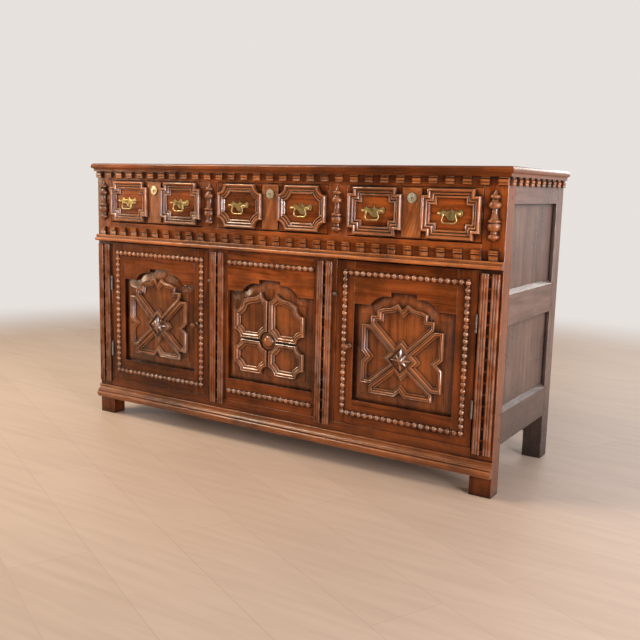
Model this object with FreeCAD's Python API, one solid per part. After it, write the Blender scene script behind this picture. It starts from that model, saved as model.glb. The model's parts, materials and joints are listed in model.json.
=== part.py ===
import FreeCAD, Part
import math
import os

# Joined oak dresser base, all sizes in millimetres.
# The case is laid out from its front plane: x runs left to right about the middle, y runs back from
# the front plane, z runs up from the floor. Every node is moved once, on writing, so that the origin
# stands in the middle of the whole footprint.

# Case
case_width = 1560.0
case_depth = 505.0
front_post_width = 68.0
front_post_depth = 54.0
back_post_width = 62.0
back_post_depth = 60.0
rail_thickness = 30.0
foot_height = 62.0
bottom_rail_height = 76.0
door_opening_height = 510.0
waist_rail_height = 70.0
drawer_opening_height = 152.0
top_rail_height = 30.0
drawer_muntin_width = 68.0
door_muntin_width = 82.0
centre_bay_width = 342.0

# Top board
top_thickness = 28.0
top_overhang = 17.0
top_nose_rise = 17.0
top_fillet_rise = 5.0
top_fillet_reach = 9.5
top_hollow_depth = 0.8
top_hollow_drop = 1.5

# Joints of the frame
tenon_thickness = 10.0
tenon_length = 26.0
tenon_shoulder = 8.0
joint_clearance = 0.1
cut_over = 1.0
peg_radius = 3.5
peg_length = 18.0
peg_proud = 0.6
peg_inset = 14.0

# Sides and back
side_frame_thickness = 24.0
side_top_rail_height = 72.0
side_middle_rail_bottom = 490.0
side_middle_rail_height = 100.0
side_bottom_rail_bottom = 147.0
side_bottom_rail_height = 106.0
side_splay = 12.0
side_panel_recess = 13.0
side_panel_thickness = 8.0
panel_tongue = 8.0
back_board_thickness = 12.0
back_board_count = 6
back_board_gap = 0.6
back_rail_thickness = 24.0
back_rail_height = 60.0

# Inside
floor_thickness = 14.0
floor_board_count = 3
floor_gap = 0.6
runner_thickness = 20.0
runner_ledge = 34.0
guide_height = 26.0
stop_size = 16.0
stop_thickness = 6.0

# Dentils
dentil_width = 25.5
upper_dentil_pitch = 51.1
lower_dentil_pitch = 51.7
upper_dentil_height = 23.0
upper_dentil_reach = 9.0
lower_dentil_height = 30.0
lower_dentil_reach = 11.0
lower_dentil_cap = 14.0
dentil_groove = 2.0

# Waist and base mouldings
waist_moulding_bottom_gap = 2.0
waist_moulding_height = 22.0
waist_moulding_reach = 18.0
waist_moulding_fillet = 5.0
base_moulding_height = 46.0
base_moulding_reach = 21.0
base_moulding_fillet = 6.0

# Pilasters
pilaster_width = 54.0
pilaster_top_gap = 10.0
pilaster_bottom_drop = 13.0
pilaster_edge = 7.5
pilaster_reed_count = 3
pilaster_reed_rise = 2.8
pilaster_groove_width = 9.0
pilaster_groove_floor = 2.0
pilaster_bridge_rise = 4.6
pilaster_bridge_length = 6.0
pilaster_bridge_pitch = 33.0

# Split balusters
baluster_radius = 19.0
baluster_gap = 6.0

# Doors
door_gap = 1.5
door_top_gap = 3.0
door_thickness = 24.0
door_stile_width = 62.0
door_bottom_rail_height = 76.5
arch_crown_drop = 85.0
arch_crown_half = 42.0
arch_step = 14.0
arch_radius = 60.0
arch_centre_offset = 58.0
arch_shoulder_drop = 129.0

# Fielded panels
panel_slot_front = 12.0
panel_slot_thickness = 8.0
panel_gap = 1.0
panel_bevel = 29.0
panel_rise = 8.0
panel_step = 2.0

# Bead strips
bead_pitch = 20.8
bead_radius = 9.0
bead_neck_radius = 3.6
bead_side_inset = 30.0
bead_top_inset = 36.5
bead_bottom_inset = 34.0

# Applied panel mouldings
panel_moulding_width = 17.0
panel_moulding_height = 13.0
cell_margin = 5.0
ogee_shoulder = 0.42
ogee_count = 10
saltire_groove = 2.0
cell_corner = 29.0
cell_notch = 16.0
chevron_reach = 39.0
shield_step = 17.0
shield_ear = 22.0
shield_peak = 41.0
shield_peak_half = 16.0
star_reach = 37.0
star_waist = 13.5
star_height = 27.0
star_block_height = 9.0
centre_moulding_width = 21.0
centre_bite = 28.0
centre_boss_bite = 31.0
centre_boss_radius = 27.0
centre_boss_height = 17.0
centre_boss_rim = 5.0
centre_button_radius = 21.5
centre_cell_gap = 3.0
panel_centre_height = 362.0

# Drawers
drawer_gap = 1.5
drawer_bottom_gap = 3.5
drawer_front_thickness = 22.0
drawer_side_thickness = 12.0
drawer_bottom_thickness = 8.0
drawer_bottom_lift = 9.0
drawer_back_room = 39.0
drawer_side_drop = 6.0
drawer_lap = 12.0
drawer_running_gap = 0.5
dovetail_count = 3
dovetail_narrow = 18.0
dovetail_wide = 26.0

# Drawer mouldings
drawer_plate_half = 31.0
drawer_plate_thickness = 3.0
drawer_moulding_margin = 3.0
drawer_moulding_width = 27.0
drawer_moulding_height = 14.0
drawer_corner_notch = 19.0
drawer_corner_scoop = 29.0

# Bail handles
handle_spacing = 244.0
handle_height = 75.0
backplate_thickness = 2.0
backplate_peak = 18.0
backplate_end = 3.0
# Right half of the plate's outline about the post line: each arc's middle and end, across as a share of
# the plate's reach and up in millimetres
backplate_wing = (
    (0.15, 8.5, 0.39, 6.0),
    (0.58, 7.0, 0.78, 12.0),
    (0.98, 8.5, 1.0, 2.0),
    (0.95, -5.0, 0.78, -7.5),
    (0.54, -7.0, 0.36, -12.0),
    (0.22, -18.0, 0.0, -19.5),
)
handle_ball_radius = 4.5
handle_ball_spacing = 62.0
handle_ball_reach = 16.0
handle_post_radius = 2.6
handle_shank_length = 12.0
bail_radius = 2.2
bail_neck_half = 17.0
bail_foot_half = 25.0
bail_drop = 27.0
bail_neck_bend = 4.5
bail_foot_bend = 9.0
pivot_clearance = 0.06

# Locks
escutcheon_half_width = 14.6
escutcheon_half_height = 16.4
escutcheon_thickness = 2.0
escutcheon_neck_half = 1.8
escutcheon_neck_height = 14.5
keyhole_radius = 2.6
keyhole_slot = 8.0
keyhole_drop = 32.0
lock_width = 56.0
lock_height = 46.0
lock_depth = 12.0
lock_wall = 1.0
bolt_width = 16.0
bolt_thickness = 5.0
bolt_height = 24.0
bolt_throw = 8.0
bolt_clearance = 0.3
strike_margin = 1.0

# Door furniture
knob_reach = 32.0
knob_radius = 9.0
knob_neck_radius = 4.5
knob_collar_radius = 7.5
knob_collar_height = 2.5
knob_shank_wall = 1.0
knob_height = 384.0
knob_bead_gap = 20.0
hinge_height = 52.0
hinge_lower_rise = 112.0
hinge_upper_drop = 148.0
hinge_leaf_thickness = 2.0
hinge_leaf_depth = 20.0
hinge_knuckle_radius = 3.6
hinge_pin_radius = 1.8
hinge_axis_reach = 4.6
hinge_knuckle_gap = 0.3
button_arm = 9.5
button_short = 5.0
button_end = 3.4
button_thickness = 5.0
button_stand_off = 0.5
button_screw_radius = 1.6
button_head_radius = 3.6
button_head_height = 2.0
button_screw_length = 14.0
button_height = 540.0
button_door_gap = 5.0

# Levels and places that follow from the sizes above
bottom_rail_top = foot_height + bottom_rail_height
door_head = bottom_rail_top + door_opening_height
waist_rail_top = door_head + waist_rail_height
drawer_head = waist_rail_top + drawer_opening_height
case_height = drawer_head + top_rail_height
half_width = case_width / 2
post_inner = half_width - front_post_width
drawer_opening_width = (case_width - 2 * front_post_width - 2 * drawer_muntin_width) / 3
centre_bay_half = centre_bay_width / 2
muntin_outer = centre_bay_half + door_muntin_width
muntin_middle = centre_bay_half + door_muntin_width / 2
drawer_muntin_middle = (drawer_opening_width + drawer_muntin_width) / 2
side_inner = half_width - side_frame_thickness
back_inner = case_depth - back_board_thickness
front_reach = max(
    knob_reach, top_overhang, base_moulding_reach, star_height, handle_ball_reach + handle_ball_radius)
front_plane = -(case_depth - front_reach) / 2


def point_xz(y):
    return lambda x, z: FreeCAD.Vector(x, y, z)


def point_yz(x):
    return lambda y, z: FreeCAD.Vector(x, y, z)


def point_xy(z):
    return lambda x, y: FreeCAD.Vector(x, y, z)


def closed_wire(steps, place):
    # A pair is a straight step to that point; four numbers are an arc by way of the first pair.
    here = place(*steps[0][-2:])
    edges = []
    for step in steps[1:] + steps[:1]:
        end = place(*step[-2:])
        if len(step) == 4:
            edges.append(Part.Arc(here, place(*step[:2]), end).toShape())
        elif here.distanceToPoint(end) > 1e-6:
            edges.append(Part.makeLine(here, end))
        here = end
    return Part.Wire(edges)


def flat_face(steps, place):
    return Part.Face(closed_wire(steps, place))


def along_x(steps, x_low, x_high):
    return flat_face(steps, point_yz(x_low)).extrude(FreeCAD.Vector(x_high - x_low, 0, 0))


def along_y(steps, y_low, y_high):
    return flat_face(steps, point_xz(y_low)).extrude(FreeCAD.Vector(0, y_high - y_low, 0))


def along_z(steps, z_low, z_high):
    return flat_face(steps, point_xy(z_low)).extrude(FreeCAD.Vector(0, 0, z_high - z_low))


def box(x_low, x_high, y_low, y_high, z_low, z_high):
    corner = FreeCAD.Vector(x_low, y_low, z_low)
    return Part.makeBox(x_high - x_low, y_high - y_low, z_high - z_low, corner)


def room_for(shape, clearance=joint_clearance):
    # The box that a squared tongue or board needs in the piece that holds it.
    edge = shape.BoundBox
    return box(
        edge.XMin - clearance, edge.XMax + clearance,
        edge.YMin - clearance, edge.YMax + clearance,
        edge.ZMin - clearance, edge.ZMax + clearance,
    )


def mirrored(shape):
    return shape.mirror(FreeCAD.Vector(0, 0, 0), FreeCAD.Vector(1, 0, 0))


def on_both_sides(shapes):
    return shapes + [mirrored(shape) for shape in shapes]


def half_turned_upright(profile, x, z_low):
    # A split turning, flat on the front plane, from (height, radius) steps along an upright axis.
    face = flat_face([(x - step[-1], z_low + step[-2]) if len(step) == 2 else
                      (x - step[1], z_low + step[0], x - step[3], z_low + step[2]) for step in profile],
                     point_xz(0))
    return face.revolve(FreeCAD.Vector(x, 0, 0), FreeCAD.Vector(0, 0, 1), 180)


def half_turned_level(profile, x_low, z):
    # The same along a level axis.
    face = flat_face([(x_low + step[0], z + step[1]) if len(step) == 2 else
                      (x_low + step[0], z + step[1], x_low + step[2], z + step[3]) for step in profile],
                     point_xz(0))
    return face.revolve(FreeCAD.Vector(0, 0, z), FreeCAD.Vector(1, 0, 0), 180)


def turned_forward(profile, x, z):
    # A full turning on an axis that points out of the front, from (radius, y) steps.
    steps = [(x + step[0], step[1]) if len(step) == 2 else
             (x + step[0], step[1], x + step[2], step[3]) for step in profile]
    return flat_face(steps, point_xy(z)).revolve(FreeCAD.Vector(x, 0, z), FreeCAD.Vector(0, 1, 0), 360)


def dome(radius, seat_y, height):
    # The closing arc of a turning: a cap of a sphere, from the radius at its seat to the axis.
    ball = (radius ** 2 + height ** 2) / (2 * height)
    half_angle = math.asin(min(1.0, radius / ball)) / 2
    tip = seat_y - height
    return (ball * math.sin(half_angle), tip + ball * (1.0 - math.cos(half_angle)), 0.0, tip)


def mitre_offsets(path):
    # For each corner of a closed path of (x, z) points, the step inwards per unit of inset.
    count = len(path)
    area = sum(path[i - 1][0] * path[i][1] - path[i][0] * path[i - 1][1] for i in range(count))
    turn = 1.0 if area > 0 else -1.0
    normals = []
    for i in range(count):
        dx = path[(i + 1) % count][0] - path[i][0]
        dz = path[(i + 1) % count][1] - path[i][1]
        length = math.hypot(dx, dz)
        normals.append((-dz * turn / length, dx * turn / length))
    steps = []
    for i in range(count):
        before = normals[i - 1]
        after = normals[i]
        share = 1.0 + before[0] * after[0] + before[1] * after[1]
        steps.append(((before[0] + after[0]) / share, (before[1] + after[1]) / share))
    return steps


def faceted_solid(corner_loops):
    faces = [Part.Face(Part.makePolygon(loop + loop[:1])) for loop in corner_loops]
    shell = Part.Shell(faces)
    shell.sewShape()
    solid = Part.Solid(shell)
    if solid.Volume < 0:
        solid.reverse()
    return solid


def mitred_loop(path, section, seat_y):
    # A moulding mitred round a closed path. The section is (inset, rise) steps from its seat.
    offsets = mitre_offsets(path)
    rings = []
    for inset, rise in section:
        rings.append([FreeCAD.Vector(p[0] + o[0] * inset, seat_y - rise, p[1] + o[1] * inset)
                      for p, o in zip(path, offsets)])
    loops = []
    for ring_index in range(len(rings)):
        outer = rings[ring_index]
        inner = rings[(ring_index + 1) % len(rings)]
        for i in range(len(path)):
            j = (i + 1) % len(path)
            loops.append([outer[i], outer[j], inner[j], inner[i]])
    return faceted_solid(loops)


def arc_points(centre, radius, start_angle, end_angle, count):
    points = []
    for i in range(count + 1):
        angle = math.radians(start_angle + (end_angle - start_angle) * i / count)
        points.append((centre[0] + radius * math.cos(angle), centre[1] + radius * math.sin(angle)))
    return points


def bite(centre, radius, first, last, count=7):
    # A hollow corner: the points of a circle about the centre from the bearing of first to that of last.
    start = math.degrees(math.atan2(first[1] - centre[1], first[0] - centre[0]))
    end = math.degrees(math.atan2(last[1] - centre[1], last[0] - centre[0]))
    swing = (end - start + 180.0) % 360.0 - 180.0
    return arc_points(centre, radius, start, start + swing, count)


def write(node, shapes):
    solids = [solid for shape in shapes for solid in shape.Solids]
    group = Part.makeCompound(solids)
    group.translate(FreeCAD.Vector(0, front_plane, 0))
    group.exportStep("parts/" + node + ".step")


os.makedirs("parts", exist_ok=True)

# Side panels, thin boards held in slots all round
side_panel_y = (front_post_depth - panel_tongue, case_depth - back_post_depth + panel_tongue)
side_panel_x = (half_width - side_panel_recess - side_panel_thickness, half_width - side_panel_recess)
side_top_rail_bottom = case_height - side_top_rail_height
side_middle_rail_top = side_middle_rail_bottom + side_middle_rail_height
side_bottom_rail_top = side_bottom_rail_bottom + side_bottom_rail_height
side_panels = []
for low, high in (
    (side_bottom_rail_top, side_middle_rail_bottom),
    (side_middle_rail_top, side_top_rail_bottom),
):
    side_panels.append(box(*side_panel_x, *side_panel_y, low - panel_tongue, high + panel_tongue))

# Side rails, tenoned between the posts, with a splayed upper edge below each panel
side_rails = []
side_tenons = []
side_tenon_x = half_width - side_frame_thickness / 2
for low, high, splayed in (
    (side_bottom_rail_bottom, side_bottom_rail_top, True),
    (side_middle_rail_bottom, side_middle_rail_top, True),
    (side_top_rail_bottom, case_height, False),
):
    front_y = front_post_depth
    back_y = case_depth - back_post_depth
    rail = box(side_inner, half_width, front_y, back_y, low, high)
    for tenon_low, tenon_high in ((front_y - tenon_length, front_y), (back_y, back_y + tenon_length)):
        tenon = box(
            side_tenon_x - tenon_thickness / 2, side_tenon_x + tenon_thickness / 2,
            tenon_low, tenon_high, low + tenon_shoulder, high - tenon_shoulder,
        )
        side_tenons.append(tenon)
        rail = rail.fuse(tenon)
    if splayed:
        lip = side_panel_recess - joint_clearance
        splay = [(half_width, high - side_splay), (half_width, high), (half_width - lip, high)]
        rail = rail.cut(along_y(splay, front_y, back_y))
    side_rails.append(rail.cut([room_for(panel) for panel in side_panels]))

# Front rails, one above the other, tenoned into the front posts
front_rail_levels = (
    (foot_height, bottom_rail_top), (door_head, waist_rail_top), (drawer_head, case_height))
front_tenon_y = ((rail_thickness - tenon_thickness) / 2, (rail_thickness + tenon_thickness) / 2)
front_rails = []
front_tenons = []
for low, high in front_rail_levels:
    rail = box(-post_inner, post_inner, 0, rail_thickness, low, high)
    tenon = box(
        post_inner, post_inner + tenon_length, *front_tenon_y, low + tenon_shoulder, high - tenon_shoulder)
    front_tenons.append(tenon)
    front_rails.append(rail.fuse([tenon, mirrored(tenon)]))

# Back rails between the back posts; the middle one carries the drawer runners
back_post_inner = half_width - back_post_width
back_rail_y = (back_inner - back_rail_thickness, back_inner)
back_rail_tops = (bottom_rail_top, waist_rail_top - runner_thickness, case_height)
back_rails = []
back_tenons = []
for high in back_rail_tops:
    low = high - back_rail_height
    rail = box(-back_post_inner, back_post_inner, *back_rail_y, low, high)
    middle = sum(back_rail_y) / 2
    tenon = box(
        back_post_inner, back_post_inner + tenon_length,
        middle - tenon_thickness / 2, middle + tenon_thickness / 2,
        low + tenon_shoulder, high - tenon_shoulder,
    )
    back_tenons.append(tenon)
    back_rails.append(rail.fuse([tenon, mirrored(tenon)]))

# Posts, each running down to the floor as a foot
front_post = box(post_inner, half_width, 0, front_post_depth, 0, case_height)
front_post = front_post.cut([room_for(piece) for piece in front_tenons + side_tenons + side_panels])
back_post = box(back_post_inner, half_width, case_depth - back_post_depth, case_depth, 0, case_height)
back_post = back_post.cut([room_for(piece) for piece in back_tenons + side_tenons + side_panels])

# Pegs that lock the side tenons, driven from the outer face of the posts
joint_pegs = []
for low, high in (
    (side_bottom_rail_bottom, side_bottom_rail_top),
    (side_middle_rail_bottom, side_middle_rail_top),
    (side_top_rail_bottom, case_height),
):
    for peg_y in (front_post_depth - peg_inset, case_depth - back_post_depth + peg_inset):
        for peg_z in (low + 2 * tenon_shoulder, high - 2 * tenon_shoulder):
            start = FreeCAD.Vector(half_width + peg_proud, peg_y, peg_z)
            joint_pegs.append(
                Part.makeCylinder(peg_radius, peg_length + peg_proud, start, FreeCAD.Vector(-1, 0, 0)))
peg_holes = []
for peg in joint_pegs:
    start = FreeCAD.Vector(half_width + peg_proud, peg.BoundBox.Center.y, peg.BoundBox.Center.z)
    hole_length = peg_length + peg_proud + joint_clearance
    peg_holes.append(
        Part.makeCylinder(peg_radius + pivot_clearance, hole_length, start, FreeCAD.Vector(-1, 0, 0)))
front_post = front_post.cut(peg_holes)
back_post = back_post.cut(peg_holes)
side_rails = [rail.cut(peg_holes) for rail in side_rails]

# Muntins between the drawers and beside the doors, tenoned into the rails above and below
def muntin(middle, width, z_low, z_high, reach):
    x_low = middle - width / 2
    x_high = middle + width / 2
    post = box(x_low, x_high, 0, rail_thickness, z_low, z_high)
    tenons = []
    for low, high in ((z_low - reach, z_low), (z_high, z_high + reach)):
        tenons.append(box(x_low + tenon_shoulder, x_high - tenon_shoulder, *front_tenon_y, low, high))
    return post.fuse(tenons), tenons


drawer_tenon_length = min(tenon_length, top_rail_height - 2 * tenon_shoulder)
drawer_muntin, drawer_muntin_tenons = muntin(
    drawer_muntin_middle, drawer_muntin_width, waist_rail_top, drawer_head, drawer_tenon_length)
door_muntin, door_muntin_tenons = muntin(
    muntin_middle, door_muntin_width, bottom_rail_top, door_head, tenon_length)
muntin_rooms = [room_for(piece) for piece in on_both_sides(drawer_muntin_tenons + door_muntin_tenons)]
front_rails = [rail.cut(muntin_rooms) for rail in front_rails]


# Arched openings, shared by the doors and the fixed centre bay
class Opening:
    def __init__(self, half, low, head):
        self.half = half
        self.low = low
        self.shoulder = head - arch_shoulder_drop
        self.crown = head - arch_crown_drop
        self.arc_top = self.crown - arch_step
        self.arc_centre = (arch_centre_offset, self.arc_top - arch_radius)

    def outline(self, x, inset):
        # The opening drawn inwards by the inset, about the upright line at x.
        radius = arch_radius - inset
        shoulder = self.shoulder - inset
        swing = math.sqrt(radius ** 2 - (shoulder - self.arc_centre[1]) ** 2)
        half_angle = math.atan2(radius, 0.0) / 2 + math.atan2(shoulder - self.arc_centre[1], swing) / 2
        via = (
            self.arc_centre[0] + radius * math.cos(half_angle),
            self.arc_centre[1] + radius * math.sin(half_angle),
        )
        springing = self.arc_centre[0] + swing
        ledge = self.arc_centre[1] + radius
        crown_half = arch_crown_half - inset
        right = [
            (self.half - inset, shoulder),
            (springing, shoulder),
            (*via, self.arc_centre[0], ledge),
            (crown_half, ledge),
            (crown_half, self.crown - inset),
        ]
        left = [
            (-crown_half, self.crown - inset),
            (-crown_half, ledge),
            (-self.arc_centre[0], ledge),
            (-via[0], via[1], -springing, shoulder),
            (-(self.half - inset), shoulder),
        ]
        base = [(-(self.half - inset), self.low + inset), (self.half - inset, self.low + inset)]
        steps = base + right + left
        return [(s[0] + x, s[1]) if len(s) == 2 else (s[0] + x, s[1], s[2] + x, s[3]) for s in steps]

    def panel(self, x):
        # A board in a slot, with a stepped field raised on it inside a wide bevel that follows the arch.
        board = box(
            x - self.half - panel_tongue, x + self.half + panel_tongue,
            panel_slot_front, panel_slot_front + panel_slot_thickness,
            self.low - panel_tongue, self.crown + panel_tongue,
        )
        foot = closed_wire(self.outline(x, panel_gap), point_xz(panel_slot_front))
        bevel_top = panel_slot_front - panel_rise + panel_step
        lip = closed_wire(self.outline(x, panel_bevel), point_xz(bevel_top))
        bevel = Part.makeLoft([foot, lip], True, True)
        field = along_y(self.outline(x, panel_bevel), bevel_top - panel_step, bevel_top)
        return board, board.fuse([bevel, field]).removeSplitter()


field_y = panel_slot_front - panel_rise


def moulding_steps(shares, width, height):
    # A section of (inset, rise) steps from shares of the moulding's width and height.
    return [(inset * width, rise * height) for inset, rise in shares]


# Shares of the applied mouldings: an outer bead, a broad round that falls inwards, an inner bead
moulding_shares = (
    (0.0, 0.0),
    (0.0, 0.74),
    (0.05, 0.92),
    (0.13, 1.0),
    (0.21, 0.92),
    (0.26, 0.70),
    (0.33, 0.84),
    (0.44, 0.86),
    (0.56, 0.74),
    (0.66, 0.52),
    (0.71, 0.28),
    (0.78, 0.46),
    (0.88, 0.46),
    (0.96, 0.32),
    (1.0, 0.16),
    (1.0, 0.0),
)
moulding_section = moulding_steps(moulding_shares, panel_moulding_width, panel_moulding_height)


def bead_profile(length):
    # (length along, radius) steps of a turned string of beads that fills the length.
    count = max(1, round(length / bead_pitch))
    pitch = length / count
    half_bead = math.sqrt(bead_radius ** 2 - bead_neck_radius ** 2)
    steps = [(0.0, 0.0), (0.0, bead_neck_radius)]
    for i in range(count):
        middle = (i + 0.5) * pitch
        steps.append((middle - half_bead, bead_neck_radius))
        steps.append((middle, bead_radius, middle + half_bead, bead_neck_radius))
    steps.append((length, bead_neck_radius))
    steps.append((length, 0.0))
    return steps


def ogee(start, end):
    # A moulded shoulder that rises steeply, lies nearly level and then sweeps up to a point.
    points = []
    for i in range(ogee_count + 1):
        share = i / ogee_count
        rise = ogee_shoulder * math.sin(math.pi * min(share, 0.5))
        rise += (1.0 - ogee_shoulder) * (1.0 - math.cos(math.pi * max(share - 0.5, 0.0)))
        points.append((start[0] + (end[0] - start[0]) * share, start[1] + (end[1] - start[1]) * rise))
    return points


def saltire_cells(x, opening):
    # Four moulded cells that leave a saltire between them, with a shield-shaped one at the top.
    wide = opening.half - panel_bevel - cell_margin
    down = panel_centre_height - (opening.low + panel_bevel) - cell_margin
    up = opening.shoulder - panel_bevel - panel_centre_height
    groove = saltire_groove / 2 / math.cos(math.atan2(down, wide))

    def side_cell(sign):
        corner = {}
        for name, reach, slope in (("up", up, up / wide), ("down", down, down / wide)):
            level = reach - cell_corner
            tip = (chevron_reach + groove) / (1.0 + slope)
            corner[name] = (level, (level + groove) / slope, tip, chevron_reach - tip)
        path = [
            (corner["up"][2], corner["up"][3]),
            (chevron_reach, 0.0),
            (corner["down"][2], -corner["down"][3]),
            (corner["down"][1], -corner["down"][0]),
            (wide, -corner["down"][0]),
            (wide, -cell_notch),
            (wide - cell_notch, 0.0),
            (wide, cell_notch),
            (wide, corner["up"][0]),
            (corner["up"][1], corner["up"][0]),
        ]
        return [(sign * p[0], p[1]) for p in path]

    def bottom_cell():
        slope = down / wide
        ear = wide - cell_corner
        tip = (chevron_reach - groove) / (1.0 + slope)
        half = [
            (cell_notch, -down),
            (ear, -down),
            (ear, -(ear * slope + groove)),
            (tip, -(chevron_reach - tip)),
        ]
        other_half = [(-p[0], p[1]) for p in half[::-1]]
        return [(0.0, -down + cell_notch)] + half + [(0.0, -chevron_reach)] + other_half

    def top_cell():
        slope = up / wide
        ear = wide - cell_corner
        tip = (chevron_reach - groove) / (1.0 + slope)
        side = [(tip, chevron_reach - tip), (ear, ear * slope + groove), (ear, up), (ear - shield_ear, up)]
        half = side + ogee((ear - shield_ear, up + shield_step), (shield_peak_half, up + shield_peak))
        notch = (0.0, up + shield_peak - shield_peak_half)
        return [(0.0, chevron_reach)] + half + [notch] + [(-p[0], p[1]) for p in half[::-1]]

    cells = []
    for path in (side_cell(1.0), side_cell(-1.0), bottom_cell(), top_cell()):
        placed = [(x + p[0], panel_centre_height + p[1]) for p in path]
        cells.append(mitred_loop(placed, moulding_section, field_y))
    return cells


def star_boss(x):
    # A square block set on its corner, and on it a four-pointed star whose ridged arms rise to one apex.
    def spot(reach, eighth, rise):
        angle = math.radians(45.0 * eighth)
        return FreeCAD.Vector(
            x + reach * math.cos(angle), field_y - rise, panel_centre_height + reach * math.sin(angle))

    seat = [spot(star_reach, i, 0.0) for i in (0, 2, 4, 6)]
    tips = [spot(star_reach, i, star_block_height) for i in (0, 2, 4, 6)]
    waists = [spot(star_waist, i, star_block_height) for i in (1, 3, 5, 7)]
    apex = spot(0.0, 0, star_height)
    loops = [seat[::-1]]
    for i in range(4):
        j = (i + 1) % 4
        loops.append([seat[i], seat[j], tips[j], tips[i]])
        loops.append([tips[i], tips[j], waists[i]])
        loops.append([tips[i], waists[i], apex])
        loops.append([waists[i], tips[j], apex])
    return faceted_solid(loops)


def bead_frame(x_low, x_high, z_low, z_high):
    # Two upright strips with two level ones fitted between them.
    upright = bead_profile(z_high - z_low + 2 * bead_radius)
    strips = [half_turned_upright(upright, x, z_low - bead_radius) for x in (x_low, x_high)]
    level_length = x_high - x_low - 2 * bead_radius
    level = bead_profile(level_length)
    strips += [half_turned_level(level, x_low + bead_radius, z) for z in (z_low, z_high)]
    return strips


# Right door, mirrored for the left one
door_low_x = muntin_outer + door_gap
door_high_x = post_inner - door_gap
door_middle = (door_low_x + door_high_x) / 2
door_half = (door_high_x - door_low_x) / 2
door_low_z = bottom_rail_top + door_gap
door_high_z = door_head - door_top_gap
door_opening = Opening(door_half - door_stile_width, door_low_z + door_bottom_rail_height, door_high_z)
door_board, door_panel = door_opening.panel(door_middle)
door_tenon_y = (panel_slot_front, panel_slot_front + panel_slot_thickness)
door_rails = []
door_tenons = []
for low, high in ((door_low_z, door_opening.low), (door_opening.shoulder, door_high_z)):
    rail = box(
        door_middle - door_opening.half, door_middle + door_opening.half, 0, door_thickness, low, high)
    for side in (-1, 1):
        inner = door_middle + side * door_opening.half
        outer = inner + side * tenon_length
        level = (low + panel_tongue + tenon_shoulder, high - tenon_shoulder)
        if low == door_low_z:
            level = (low + tenon_shoulder, high - panel_tongue - tenon_shoulder)
        tenon = box(min(inner, outer), max(inner, outer), *door_tenon_y, *level)
        door_tenons.append(tenon)
        rail = rail.fuse(tenon)
    door_rails.append(rail)
arch_cut = along_y(door_opening.outline(door_middle, 0.0), -cut_over, door_thickness + cut_over)
door_rails[1] = door_rails[1].cut(arch_cut)
door_rails = [rail.cut(room_for(door_board)) for rail in door_rails]
door_stiles = []
for low in (door_low_x, door_high_x - door_stile_width):
    stile = box(low, low + door_stile_width, 0, door_thickness, door_low_z, door_high_z)
    door_stiles.append(stile.cut([room_for(piece) for piece in door_tenons + [door_board]]))

# Turned knob on the inner stile
knob_x = door_low_x + bead_side_inset + knob_bead_gap
knob_shank_length = panel_slot_front - knob_shank_wall
knob_ball_y = knob_radius - knob_reach
knob_neck_y = knob_ball_y + math.sqrt(knob_radius ** 2 - knob_neck_radius ** 2)
knob = turned_forward([
    (0.0, knob_shank_length),
    (knob_neck_radius, knob_shank_length),
    (knob_neck_radius, 0.0),
    (knob_collar_radius, 0.0),
    (knob_collar_radius, -knob_collar_height),
    (knob_neck_radius, -2 * knob_collar_height),
    (knob_neck_radius, knob_neck_y),
    (knob_radius, knob_ball_y, 0.0, -knob_reach),
], knob_x, knob_height)
knob_hole = Part.makeCylinder(
    knob_neck_radius + joint_clearance, knob_shank_length + joint_clearance,
    FreeCAD.Vector(knob_x, 0, knob_height), FreeCAD.Vector(0, 1, 0))
door_stiles[0] = door_stiles[0].cut(knob_hole)

# Butt hinges: leaves let into the post and the door, knuckles in front of the face, a pin through them
hinge_x = post_inner - door_gap / 2
hinge_y = -hinge_axis_reach
hinge_levels = (door_low_z + hinge_lower_rise, door_high_z - hinge_upper_drop)
knuckle_height = hinge_height / 3


def hinge_barrel(radius, low, high):
    return Part.makeCylinder(radius, high - low, FreeCAD.Vector(hinge_x, hinge_y, low))


fixed_leaves = []
door_leaves = []
leaf_rooms = []
for level in hinge_levels:
    low = level - hinge_height / 2
    middle_low = low + knuckle_height
    middle_high = low + 2 * knuckle_height
    high = low + hinge_height
    sweep = hinge_knuckle_radius + hinge_knuckle_gap
    post_leaf = box(post_inner, post_inner + hinge_leaf_thickness, hinge_y, hinge_leaf_depth, low, high)
    post_leaf = post_leaf.cut(
        hinge_barrel(sweep, middle_low - hinge_knuckle_gap, middle_high + hinge_knuckle_gap))
    fixed_leaves.append(post_leaf.fuse([
        hinge_barrel(hinge_knuckle_radius, low, middle_low),
        hinge_barrel(hinge_knuckle_radius, middle_high, high),
        hinge_barrel(hinge_pin_radius, low, high),
    ]))
    door_leaf = box(door_high_x - hinge_leaf_thickness, door_high_x, hinge_y, hinge_leaf_depth, low, high)
    door_leaf = door_leaf.cut([
        hinge_barrel(sweep, low, middle_low + hinge_knuckle_gap),
        hinge_barrel(sweep, middle_high - hinge_knuckle_gap, high),
    ])
    door_leaf = door_leaf.fuse(
        hinge_barrel(hinge_knuckle_radius, middle_low + hinge_knuckle_gap, middle_high - hinge_knuckle_gap))
    door_leaves.append(door_leaf.cut(hinge_barrel(hinge_pin_radius + pivot_clearance, low, high)))
    leaf_rooms.append(box(
        door_high_x - hinge_leaf_thickness - joint_clearance,
        post_inner + hinge_leaf_thickness + joint_clearance,
        -cut_over, hinge_leaf_depth + joint_clearance, low - joint_clearance, high + joint_clearance,
    ))
front_post = front_post.cut(leaf_rooms)
door_stiles[1] = door_stiles[1].cut(leaf_rooms)

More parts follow.
